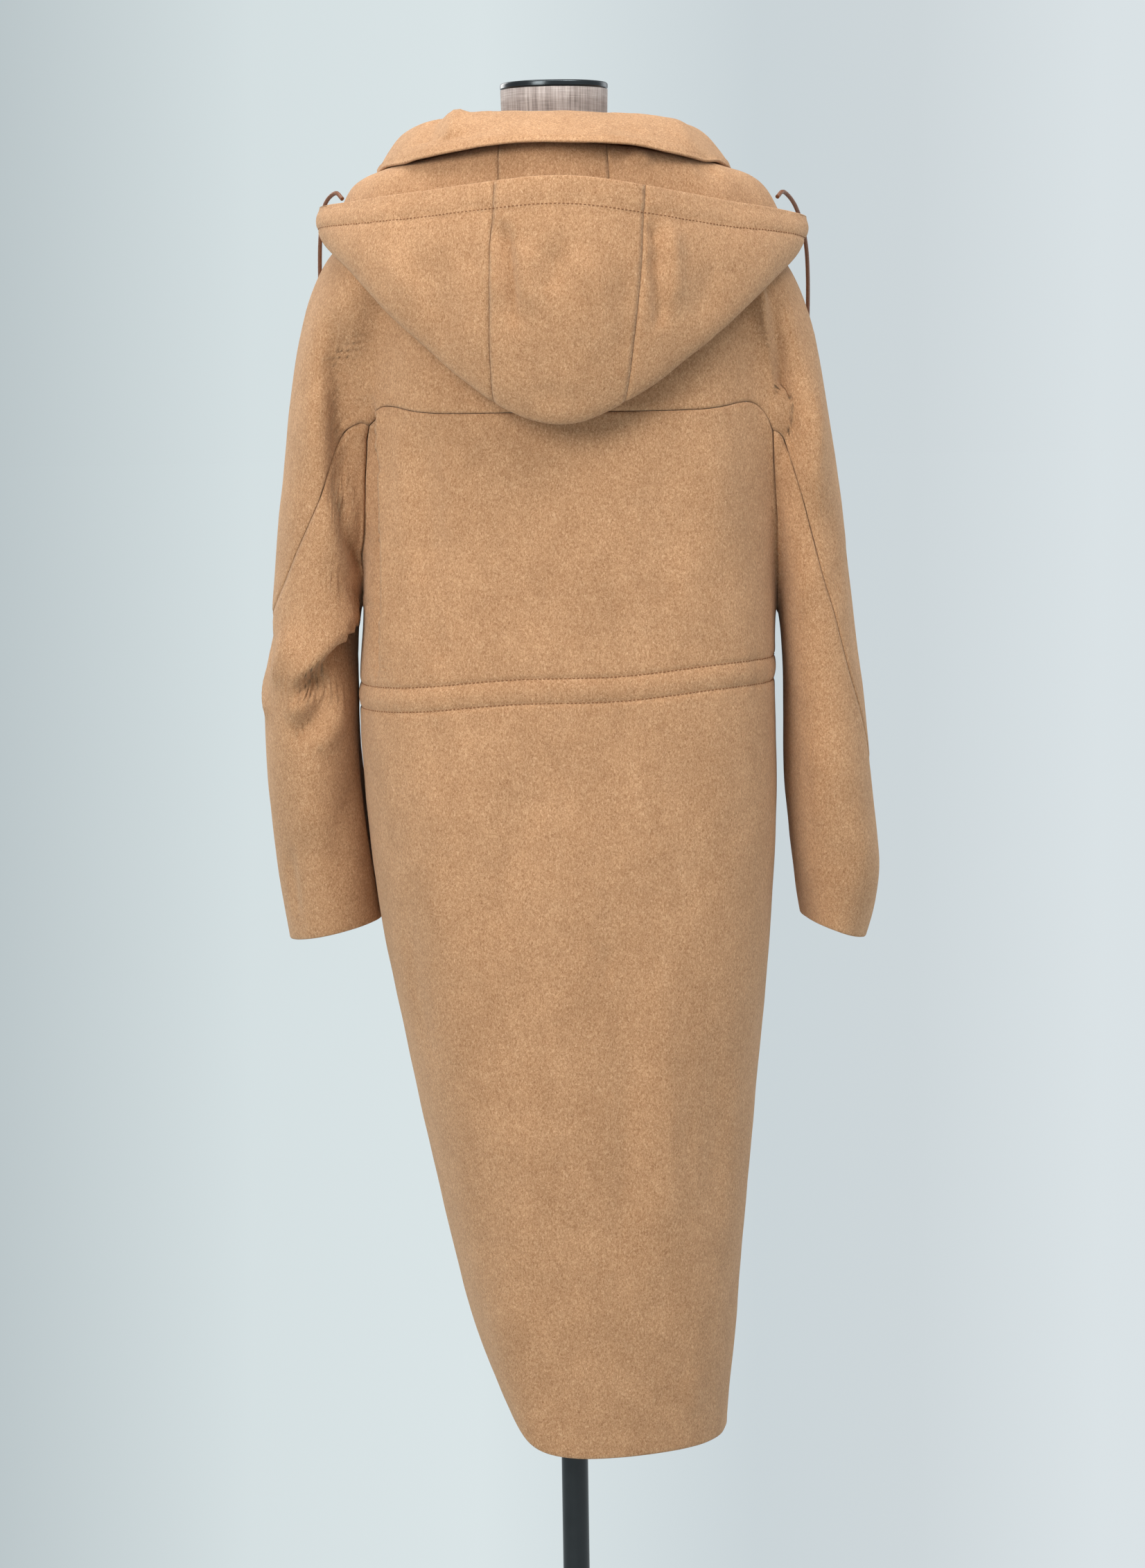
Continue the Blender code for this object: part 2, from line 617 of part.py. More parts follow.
def split(cage, title, colours, neck=None, ground=None):
    points, faces, labels, under, place, normals = smooth(cage, title + "_cage", SMOOTHING)
    if title == "coat":
        points = points + normals * fold_heights(points, normals)[:, None]
        # The body runs from -1 to 0 in place and the sleeves from 0 to 1.
        points = clear_of(points, np.flatnonzero(place > 0.01), points, [f for f in faces if place[list(f)].min() < -0.01], np.full(len(points), PART))
    else:
        points = sewn_on(points, faces, under, neck, title)
        if title == "hood":
            points = clear_of(points, np.flatnonzero(under < 0.99), *ground, CLEAR * (6.0 - 4.0 * under))
        else:
            # It lies on the hood's inside, which is the far side of the hood's wall.
            points = clear_of(points, np.flatnonzero((under < 0.35) & (points[:, 1] > -0.05)), ground[0], [f[::-1] for f in ground[1]], (CLOTH + CLEAR) * (1.45 - 0.35 * under))
    normals = vertex_normals(points, faces)
    sides, meeting = {}, {}
    for face, label in zip(faces, labels):
        for a, b in zip(face, face[1:] + face[:1]):
            sides.setdefault(frozenset((a, b)), set()).add(label)
            meeting.setdefault(frozenset((a, b)), []).append(face)
    seams = {edge for edge, names in sides.items() if len(names) > 1}
    for label in sorted(set(labels)):
        own = [face for face, name in zip(faces, labels) if name == label]
        sink, free = None, seams
        if label == "front_left":
            # It runs on under the right front as far as the far side of the lap.
            lap = [f for f, name in zip(faces, labels) if name == "front_right" and min(under[list(f)]) > 0.99]
            own += lap
            sink = under * (CLOTH + LAP_GAP)
            free = {edge for edge in seams if sides[edge] != {"front_left", "front_right"}}
        if label == "front_right":
            free = {edge for edge in seams if sides[edge] != {"front_left", "front_right"}}
        shell(label, points, normals, own, free, colours[label], meeting, sink)
    return points, faces, normals


wool = material("wool", WOOL, 0.95)
names = ("yoke_back", "back_panel", "front_left", "front_right", "sleeve_left", "sleeve_right", "collar", "hood_middle", "hood_side_left", "hood_side_right")
cloths = {n: material("wool_" + n, tuple(c * (0.9 + 0.02 * i) for c in WOOL), 0.95) for i, n in enumerate(names)}
bpy.data.materials.remove(wool)
coat = split(body_cage(), "coat", cloths)
neck = neckline(*coat)
hood = split(hood_cage(neck), "hood", cloths, neck, coat[:2])
split(collar_cage(neck), "collar", cloths, neck, hood[:2])


# ---------------------------------------------------------------- drawcords
def smooth_route(stops, spacing):
    """Points a given distance apart on a smooth curve through the stops."""
    pts = np.array(stops, float) * MM
    pts = np.vstack([2 * pts[0] - pts[1], pts, 2 * pts[-1] - pts[-2]])
    dense = []
    for a, b, c, d in zip(pts, pts[1:], pts[2:], pts[3:]):
        for t in np.linspace(0.0, 1.0, 40, endpoint=False):
            dense.append(0.5 * (2 * b + (c - a) * t + (2 * a - 5 * b + 4 * c - d) * t * t + (3 * b - a - 3 * c + d) * t**3))
    dense.append(pts[-2])
    dense = np.array(dense)
    run = np.concatenate([[0.0], np.cumsum(np.linalg.norm(np.diff(dense, axis=0), axis=1))])
    count = max(8, int(round(run[-1] / spacing)))
    at = np.linspace(0.0, run[-1], count + 1)
    return np.column_stack([np.interp(at, run, dense[:, i]) for i in range(3)])


leather = material("leather_cord", LEATHER, 0.5)
for name, stops in (("drawcord_left", CORD_L), ("drawcord_right", CORD_R)):
    route = smooth_route(stops, 2.2 * CORD_D)
    curve = bpy.data.curves.new(name, "CURVE")
    curve.dimensions = "3D"
    curve.bevel_depth = CORD_D / 2.0
    curve.bevel_resolution = 2
    curve.use_fill_caps = True
    spline = curve.splines.new("POLY")
    spline.points.add(len(route) - 1)
    for point, co in zip(spline.points, route):
        point.co = (*co, 1.0)
    cord = bpy.data.objects.new(name, curve)
    curve.materials.append(leather)
    parts.objects.link(cord)


# ---------------------------------------------------------------- dress form and stand
def form_body():
    mesh = bmesh.new()
    rings, sides = [], 32
    for z, hw, yb, yf in FORM:
        cy, b = (yb + yf) / 2.0, (yb - yf) / 2.0
        square = 2.0 / (2.0 + 0.25 * min(1.0, max(0.0, (1500.0 - z) / 120.0)))
        ring = []
        for j in range(sides):
            turn = 2.0 * math.pi * j / sides
            ring.append(mesh.verts.new((hw * MM * signed_power(math.sin(turn), square), (cy + b * signed_power(math.cos(turn), square)) * MM, z * MM)))
        rings.append(ring)
    for low, high in zip(rings, rings[1:]):
        for j in range(sides):
            k = (j + 1) % sides
            mesh.faces.new((low[k], low[j], high[j], high[k]))
    mesh.faces.new(rings[0])
    mesh.faces.new(rings[-1][::-1])
    bmesh.ops.recalc_face_normals(mesh, faces=mesh.faces)
    data = bpy.data.meshes.new("form_torso")
    mesh.to_mesh(data)
    mesh.free()
    data.shade_smooth()
    data.set_sharp_from_angle(angle=math.radians(40))
    data.materials.append(material("linen", LINEN, 0.9))
    obj = bpy.data.objects.new("form_torso", data)
    parts.objects.link(obj)


def turned(name, profile, mat, steps=48):
    """A solid turned about the Z axis. The profile runs down its outer side."""
    mesh = bpy.data.meshes.new(name)
    pts = [(r, 0.0, z) for r, z in profile]
    mesh.from_pydata(pts, [(i, i + 1) for i in range(len(pts) - 1)], [])
    obj = bpy.data.objects.new(name, mesh)
    parts.objects.link(obj)
    screw = obj.modifiers.new("turn", "SCREW")
    screw.axis = "Z"
    screw.steps = screw.render_steps = steps
    screw.use_merge_vertices = True
    screw.merge_threshold = 0.00005
    screw.use_smooth_shade = True
    mesh.materials.append(mat)
    return obj


form_body()
top = NECK_TOP + 0.0003
turned("neck_cap", ((0.0, top + CAP_H), (NECK_R - 0.0015, top + CAP_H), (NECK_R + 0.0002, top + CAP_H - 0.0015), (NECK_R + 0.0002, top + 0.0012), (NECK_R - 0.0008, top), (0.0, top)), material("dark_steel", STEEL, 0.25, 1.0))
bottom = FORM[0][0] * MM - 0.0003
turned("pole", ((0.0, bottom), (POLE_R, bottom), (POLE_R, FOOT_H + 0.0003), (0.0, FOOT_H + 0.0003)), material("black_metal", BLACK, 0.4, 0.3), 32)
turned("foot_plate", ((0.0, FOOT_H), (FOOT_R - 0.003, FOOT_H), (FOOT_R, FOOT_H - 0.003), (FOOT_R, 0.001), (FOOT_R - 0.001, 0.0), (0.0, 0.0)), material("black_foot", BLACK, 0.5, 0.3), 64)
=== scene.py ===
"""Looks of the hooded long coat on its limbless dress form.

The cloth repeats the coat's own cages at a fine level, so every shell lies on its
solid's form. Creases, seams, casings and edges are then placed, in mm, and
each panel becomes a wall of cloth with rounded free edges. Metres, +Z up, the coat's
back faces +Y and its left side is at +X.
"""

import math

import bpy
import numpy as np
from mathutils import Matrix, Vector, noise
from mathutils.bvhtree import BVHTree
from mathutils.kdtree import KDTree


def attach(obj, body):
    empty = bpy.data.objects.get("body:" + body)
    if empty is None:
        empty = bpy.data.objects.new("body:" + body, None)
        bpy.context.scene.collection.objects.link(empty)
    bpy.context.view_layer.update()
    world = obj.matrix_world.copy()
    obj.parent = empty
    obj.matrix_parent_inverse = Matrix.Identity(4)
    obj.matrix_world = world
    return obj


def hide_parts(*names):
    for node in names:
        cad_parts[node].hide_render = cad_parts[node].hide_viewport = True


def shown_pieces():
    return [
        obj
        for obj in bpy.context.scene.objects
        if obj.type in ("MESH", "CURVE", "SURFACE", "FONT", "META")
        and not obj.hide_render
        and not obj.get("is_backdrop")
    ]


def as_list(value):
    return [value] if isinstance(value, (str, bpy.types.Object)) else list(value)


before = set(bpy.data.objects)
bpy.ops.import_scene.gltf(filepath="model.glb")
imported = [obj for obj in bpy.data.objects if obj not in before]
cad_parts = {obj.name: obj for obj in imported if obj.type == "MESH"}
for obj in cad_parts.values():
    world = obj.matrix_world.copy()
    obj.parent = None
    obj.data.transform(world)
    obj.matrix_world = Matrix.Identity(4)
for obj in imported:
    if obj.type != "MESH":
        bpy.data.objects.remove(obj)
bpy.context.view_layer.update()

MM = 0.001
CLOTH = 0.0030  # thickness of the wool
SEAM_GAP = 0.0004  # between two pieces at a seam
LAP_GAP = 0.0012  # between the two fronts where they lap
CLEAR = 0.0008
PART = 0.0022
FINE = 4  # Catmull-Clark levels of the cloth
CORD_D = 0.0040
POLE_R = 0.0128
FOOT_R = 0.190
FOOT_H = 0.012
NECK_R = 0.0500
NECK_TOP = 1.5935
CAP_H = 0.0060

# ---------------------------------------------------------------- camera
YAW, PITCH, ROLL = -0.00216134, 0.10873458, -0.01510617
forward = np.array((math.sin(YAW) * math.cos(PITCH), -math.cos(YAW) * math.cos(PITCH), -math.sin(PITCH)))
level = np.cross(forward, (0.0, 0.0, 1.0))
level /= np.linalg.norm(level)
above = np.cross(level, forward)
right = math.cos(ROLL) * level + math.sin(ROLL) * above
above = -math.sin(ROLL) * level + math.cos(ROLL) * above
lens = bpy.data.cameras.new("camera")
lens.lens, lens.sensor_width, lens.sensor_fit = 85.0, 36.0, "AUTO"
camera = bpy.data.objects.new("camera", lens)
bpy.context.scene.collection.objects.link(camera)
camera.matrix_world = Matrix(
    ((right[0], above[0], -forward[0], 0.0), (right[1], above[1], -forward[1], 3.5), (right[2], above[2], -forward[2], 1.325), (0, 0, 0, 1))
)
bpy.context.scene.camera = camera


# ---------------------------------------------------------------- material helpers
class Shader:
    """A node material, built in a few words."""

    def __init__(self, name, roughness, **fixed):
        self.mat = bpy.data.materials.new(name)
        self.mat.use_nodes = True
        self.tree = self.mat.node_tree
        self.bsdf = self.tree.nodes["Principled BSDF"]
        self.bsdf.inputs["Roughness"].default_value = roughness
        for key, value in fixed.items():
            self.bsdf.inputs[key.replace("_", " ")].default_value = value
        self.coords = self.tree.nodes.new("ShaderNodeTexCoord").outputs["Object"]

    def node(self, kind, **settings):
        made = self.tree.nodes.new("ShaderNode" + kind)
        for key, value in settings.items():
            setattr(made, key, value)
        return made

    def link(self, a, b):
        self.tree.links.new(a, b)

    def scaled(self, x, y, z, turn=(0.0, 0.0, 0.0)):
        mapping = self.node("Mapping")
        mapping.inputs["Scale"].default_value = (x, y, z)
        mapping.inputs["Rotation"].default_value = turn
        self.link(self.coords, mapping.inputs["Vector"])
        return mapping.outputs["Vector"]

    def noise(self, vector, scale, detail=2.0, rough=0.5, distortion=0.0):
        made = self.node("TexNoise")
        for key, value in (("Scale", scale), ("Detail", detail), ("Roughness", rough), ("Distortion", distortion)):
            made.inputs[key].default_value = value
        self.link(vector, made.inputs["Vector"])
        return made.outputs["Fac"]

    def ramp(self, value, *stops):
        made = self.node("ValToRGB")
        elements = made.color_ramp.elements
        while len(elements) < len(stops):
            elements.new(0.5)
        for element, (at, colour) in zip(elements, stops):
            element.position = at
            element.color = (*colour, 1.0) if len(colour) == 3 else colour
        self.link(value, made.inputs["Fac"])
        return made.outputs["Color"]

    def math(self, kind, a, b, clamp=False):
        made = self.node("Math", operation=kind, use_clamp=clamp)
        for socket, value in zip(made.inputs, (a, b)):
            if isinstance(value, (int, float)):
                socket.default_value = value
            else:
                self.link(value, socket)
        return made.outputs["Value"]

    def mix(self, fac, a, b, kind="MIX"):
        made = self.node("Mix", data_type="RGBA", blend_type=kind)
        for socket, value in ((made.inputs[0], fac), (made.inputs[6], a), (made.inputs[7], b)):
            if isinstance(value, (int, float)):
                socket.default_value = value
            elif isinstance(value, tuple):
                socket.default_value = (*value, 1.0)
            else:
                self.link(value, socket)
        return made.outputs[2]

    def bump(self, height, distance, strength=1.0, under=None):
        made = self.node("Bump")
        made.inputs["Distance"].default_value = distance
        made.inputs["Strength"].default_value = strength
        self.link(height, made.inputs["Height"])
        if under is not None:
            self.link(under, made.inputs["Normal"])
        return made.outputs["Normal"]

    def finish(self, colour, normal=None, rough=None):
        self.link(colour, self.bsdf.inputs["Base Color"])
        if normal is not None:
            self.link(normal, self.bsdf.inputs["Normal"])
        if rough is not None:
            self.link(rough, self.bsdf.inputs["Roughness"])
        return self.mat


def wool_material():
    """Thick camel wool, brushed: a short nap lying downwards, in tufts of 2 to 3 mm,
    with lighter and darker fibres and a faint larger mottle."""
    s = Shader("wool_brushed", 0.93, **{"Sheen_Weight": 0.32, "Sheen_Roughness": 0.45, "Specular_IOR_Level": 0.22})
    s.bsdf.inputs["Sheen Tint"].default_value = (0.95, 0.80, 0.62, 1.0)
    nap = s.scaled(1.0, 1.0, 0.62)
    tufts = s.noise(nap, 700.0, 4.0, 0.68, 0.9)
    fibres = s.noise(nap, 1900.0, 3.0, 0.75, 0.6)
    cloud = s.noise(s.scaled(1.0, 1.0, 0.8), 26.0, 3.0, 0.55, 0.3)
    blotch = s.noise(s.coords, 95.0, 3.0, 0.6, 0.2)
    mixed = s.math("ADD", s.math("MULTIPLY", tufts, 0.62), s.math("MULTIPLY", fibres, 0.38))
    base = s.ramp(
        mixed,
        (0.34, (0.300, 0.135, 0.056)),
        (0.44, (0.455, 0.236, 0.112)),
        (0.51, (0.560, 0.312, 0.160)),
        (0.58, (0.670, 0.405, 0.225)),
        (0.68, (0.800, 0.540, 0.345)),
    )
    soft = s.ramp(s.math("ADD", s.math("MULTIPLY", cloud, 0.6), s.math("MULTIPLY", blotch, 0.4)), (0.36, (0.90, 0.885, 0.87)), (0.64, (1.05, 1.055, 1.06)))
    colour = s.mix(1.0, base, soft, "MULTIPLY")
    height = s.math("ADD", s.math("MULTIPLY", tufts, 0.7), s.math("MULTIPLY", fibres, 0.3))
    normal = s.bump(height, 0.0018, 0.75)
    return s.finish(colour, normal)


def thread_material():
    s = Shader("thread_brown", 0.7, Specular_IOR_Level=0.3)
    twist = s.noise(s.scaled(1.0, 1.0, 1.0), 2500.0, 2.0)
    return s.finish(s.ramp(twist, (0.3, (0.19, 0.078, 0.03)), (0.7, (0.34, 0.165, 0.075))), s.bump(twist, 0.0003, 0.4))


def leather_material():
    """Brown leather lace, a little polished, with a fine grain and paler worn patches."""
    s = Shader("leather_cord", 0.42, Specular_IOR_Level=0.5)
    grain = s.noise(s.coords, 900.0, 4.0, 0.6, 0.2)
    wear = s.noise(s.coords, 60.0, 3.0, 0.6)
    base = s.ramp(grain, (0.3, (0.085, 0.030, 0.014)), (0.7, (0.215, 0.085, 0.040)))
    colour = s.mix(s.math("MULTIPLY", wear, 0.45), base, (0.36, 0.17, 0.09))
    rough = s.math("ADD", s.math("MULTIPLY", wear, 0.3), 0.28)
    return s.finish(colour, s.bump(grain, 0.0004, 0.5), rough)


def linen_material():
    """Grey-brown linen: upright slubs with a fine cross weave."""
    s = Shader("linen_weave", 0.88, **{"Sheen_Weight": 0.15, "Specular_IOR_Level": 0.25})
    upright = s.noise(s.scaled(1.0, 1.0, 0.035), 620.0, 3.0, 0.6)
    cross = s.noise(s.scaled(0.05, 0.05, 1.0), 900.0, 2.0, 0.6)
    weave = s.math("ADD", s.math("MULTIPLY", upright, 0.68), s.math("MULTIPLY", cross, 0.32))
    cloud = s.noise(s.coords, 30.0, 3.0)
    base = s.ramp(weave, (0.34, (0.200, 0.165, 0.150)), (0.5, (0.345, 0.295, 0.272)), (0.66, (0.50, 0.44, 0.41)))
    soft = s.ramp(cloud, (0.3, (0.92, 0.91, 0.90)), (0.7, (1.05, 1.05, 1.05)))
    return s.finish(s.mix(1.0, base, soft, "MULTIPLY"), s.bump(weave, 0.0006, 0.6))


def metal_material(name, dark, light, roughness, metallic, smear=0.06):
    s = Shader(name, roughness, Metallic=metallic, Specular_IOR_Level=0.5)
    fine = s.noise(s.scaled(1.0, 1.0, 0.2), 260.0, 3.0, 0.6)
    cloud = s.noise(s.coords, 18.0, 4.0, 0.6)
    colour = s.ramp(cloud, (0.3, dark), (0.7, light))
    rough = s.math("ADD", s.math("MULTIPLY", cloud, smear * 2.0), roughness - smear)
    return s.finish(colour, s.bump(fine, 0.0002, 0.25), rough)


WOOL = wool_material()
THREAD = thread_material()
LEATHER = leather_material()
LINEN = linen_material()
STEEL = metal_material("steel_dark", (0.028, 0.034, 0.038), (0.060, 0.070, 0.076), 0.24, 0.85, 0.05)
POLE = metal_material("pole_black", (0.012, 0.016, 0.018), (0.022, 0.028, 0.031), 0.36, 0.25, 0.06)
FOOT = metal_material("foot_black", (0.014, 0.018, 0.020), (0.026, 0.031, 0.034), 0.5, 0.2, 0.08)


def link(obj):
    bpy.context.scene.collection.objects.link(obj)
    return obj


# ---------------------------------------------------------------- drawcords
# Routes from the eyelet at the end of the casing down over the front of the sleeve.
CORD_L = ((199, 4, 1496), (206, -6, 1502), (217, -22, 1492), (223, -44, 1466), (226, -68, 1424), (226, -84, 1360), (224, -92, 1290), (222, -94, 1230))
CORD_R = ((-207, 4, 1492), (-214, -8, 1497), (-226, -26, 1484), (-236, -50, 1456), (-240, -72, 1420), (-240, -88, 1360), (-238, -95, 1290), (-236, -98, 1225))


def smooth_route(stops, spacing):
    """Points a given distance apart on a smooth curve through the stops."""
    pts = np.array(stops, float) * MM
    pts = np.vstack([2 * pts[0] - pts[1], pts, 2 * pts[-1] - pts[-2]])
    dense = []
    for a, b, c, d in zip(pts, pts[1:], pts[2:], pts[3:]):
        for t in np.linspace(0.0, 1.0, 40, endpoint=False):
            dense.append(0.5 * (2 * b + (c - a) * t + (2 * a - 5 * b + 4 * c - d) * t * t + (3 * b - a - 3 * c + d) * t**3))
    dense.append(pts[-2])
    dense = np.array(dense)
    run = np.concatenate([[0.0], np.cumsum(np.linalg.norm(np.diff(dense, axis=0), axis=1))])
    count = max(8, int(round(run[-1] / spacing)))
    at = np.linspace(0.0, run[-1], count + 1)
    return np.column_stack([np.interp(at, run, dense[:, i]) for i in range(3)])


for name, stops in (("drawcord_left", CORD_L), ("drawcord_right", CORD_R)):
    route = smooth_route(stops, 0.9 * CORD_D)
    curve = bpy.data.curves.new(name + "_lace", "CURVE")
    curve.dimensions = "3D"
    curve.bevel_depth = CORD_D / 2.0
    curve.bevel_resolution = 4
    curve.use_fill_caps = True
    spline = curve.splines.new("POLY")
    spline.points.add(len(route) - 1)
    for point, co in zip(spline.points, route):
        point.co = (*co, 1.0)
    curve.materials.append(LEATHER)
    cord = link(bpy.data.objects.new(name + "_lace", curve))
    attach(cord, "root")
    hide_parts(name)


# ---------------------------------------------------------------- the coat's cages
BACK_COLS = 8  # columns across the back and across the front
ARM_COLS = 8  # columns round the outside of a sleeve
SIDE_COLS = 4  # columns of a side of the body or the inside of a sleeve

YOKE = (
    # zb    yb   zf     yf    xl   ypb  ypf   zpb   zpf   xr   ol   zol   or_  zor   yo
    (1512, 80, 1430, -98, 50, 66, -82, 1511, 1444, 50, 84, 1498, 84, 1498, -6),
    (1478, 100, 1390, -118, 92, 79, -92, 1481, 1412, 92, 148, 1481, 148, 1479, -8),
    (1432, 114, 1352, -128, 136, 82, -96, 1442, 1384, 140, 215, 1461, 222, 1448, -8),
    (1378, 126, 1294, -136, 163, 75, -89, 1386, 1322, 181, 250, 1352, 254, 1312, -5),
    (1322, 131, 1240, -141, 173, 56, -70, 1348, 1250, 195, 276, 1066, 296, 884, 0),
)
BODY = (
    # z    zf   lift  xl    xr    yb    yf   sqb  sqf
    (1112, 1064, 0, 187, 199, 140, -149, 2.8, 2.6),
    (1012, 992, 0, 195, 202, 144, -151, 2.7, 2.5),
    (842, 832, 0, 182, 199, 149, -152, 2.5, 2.4),
    (600, 596, 0, 133, 172, 146, -145, 2.4, 2.4),
    (400, 397, 10, 94, 155, 134, -138, 2.4, 2.4),
    (321, 320, 50, 68, 148, 128, -132, 2.4, 2.4),
)
CROTCH = ((1132, 1112, -8, 14, 11),)
SLEEVE_L = (
    # xo   zo    xi   zi    ym   hd
    (284, 1006, 196, 1062, -2, 71),
    (284, 946, 193, 990, -8, 65),
    (276, 878, 185, 905, -20, 61),
    (266, 796, 177, 815, -30, 58),
)
SLEEVE_R = (
    (299, 858, 210, 1040, -4, 75),
    (297, 838, 208, 954, -8, 67),
    (294, 816, 214, 880, -15, 63),
    (287, 791, 225, 813, -22, 60),
)
HOOD = (
    # ex   ey    ez    bx   by    bz   r  bulge  vx   vy    vz   hump turn
    (56, -124, 1448, 58, -128, 1438, 5, 0, 50, -118, 1454, 3, 157),
    (106, -106, 1480, 118, -112, 1462, 6, 1, 96, -96, 1488, 4, 138),
    (146, -80, 1502, 166, -86, 1480, 6, 2, 128, -66, 1510, 5, 118),
    (231, 12, 1486, 232, 10, 1465, 6, 3, 194, -4, 1506, 8, 92),
    (206, 62, 1489, 190, 92, 1428, 7, 9, 184, 44, 1516, 9, 72),
    (156, 122, 1492, 144, 138, 1372, 9, 14, 144, 94, 1526, 10, 54),
    (45, 184, 1503, 50, 161, 1288, 11, 18, 39, 132, 1538, 12, 30),
    (-12, 194, 1507, 0, 164, 1275, 12, 18, 0, 138, 1540, 12, 0),
    (-76, 182, 1497, -51, 162, 1288, 11, 18, -34, 132, 1537, 12, -30),
    (-164, 122, 1482, -149, 138, 1360, 9, 14, -142, 94, 1525, 10, -54),
    (-220, 62, 1476, -198, 92, 1414, 7, 9, -186, 44, 1515, 9, -72),
    (-246, 12, 1469, -242, 10, 1447, 6, 3, -200, -4, 1504, 8, -92),
    (-150, -80, 1500, -170, -86, 1478, 6, 2, -128, -66, 1508, 5, -118),
    (-108, -106, 1478, -120, -112, 1460, 6, 1, -96, -96, 1486, 4, -138),
    (-56, -124, 1448, -58, -128, 1438, 5, 0, -50, -118, 1454, 3, -157),
)
NECK_RIDGE = ((37, 12, 4.0), (140, 10, 1.0))
HOOD_SEAMS = (6, 8)
COLLAR = (
    # tx   ty    tz    ex    ey    ez   turn
    (26, -132, 1474, 66, -158, 1428, 172),
    (96, -98, 1524, 138, -118, 1484, 130),
    (146, -28, 1557, 178, -22, 1513, 97),
    (126, 46, 1571, 154, 88, 1519, 62),
    (62, 80, 1575, 72, 138, 1535, 30),
    (0, 88, 1572, 0, 150, 1538, 0),
    (-62, 80, 1571, -72, 138, 1535, -30),
    (-124, 46, 1567, -150, 88, 1517, -62),
    (-145, -28, 1553, -177, -22, 1511, -97),
    (-96, -98, 1522, -138, -118, 1482, -130),
    (-26, -132, 1474, -66, -158, 1428, -172),
)


def hull(columns):
    """How much a control polygon stands outside its smooth ring."""
    return 1.0 / (2.0 / 3.0 + math.cos(2.0 * math.pi / columns) / 3.0)


def signed_power(value, power):
    return math.copysign(abs(value) ** power, value)


class Cage:
    """Vertices found by key, with their lap value, the side of the armhole they are on
    and their row and column, and faces with the name of their piece."""

    def __init__(self):
        self.points, self.index, self.faces, self.labels = [], {}, [], []
        self.values = {"under": [], "place": [], "row": [], "col": []}

    def put(self, key, point, under=0.0, row=0.0, col=0.0):
        self.index[key] = len(self.points)
        self.points.append(tuple(p * MM for p in point))
        place = {"body": -1.0, "arm": 1.0, "sleeve": 1.0}.get(key[0].rstrip("LR"), 0.0)
        for title, value in (("under", under), ("place", place), ("row", row), ("col", col)):
            self.values[title].append(value)

    def quad(self, keys, label):
        self.faces.append(tuple(self.index[key] for key in keys))
        self.labels.append(label)


def arc_weight(cols, i):
    """0 at the ends of an arc of columns and 1 at its middle, level there."""
    angle = math.radians(120.0 - 240.0 * i / cols)
    return (math.cos(angle) + 0.5) / 1.5, math.sin(angle)


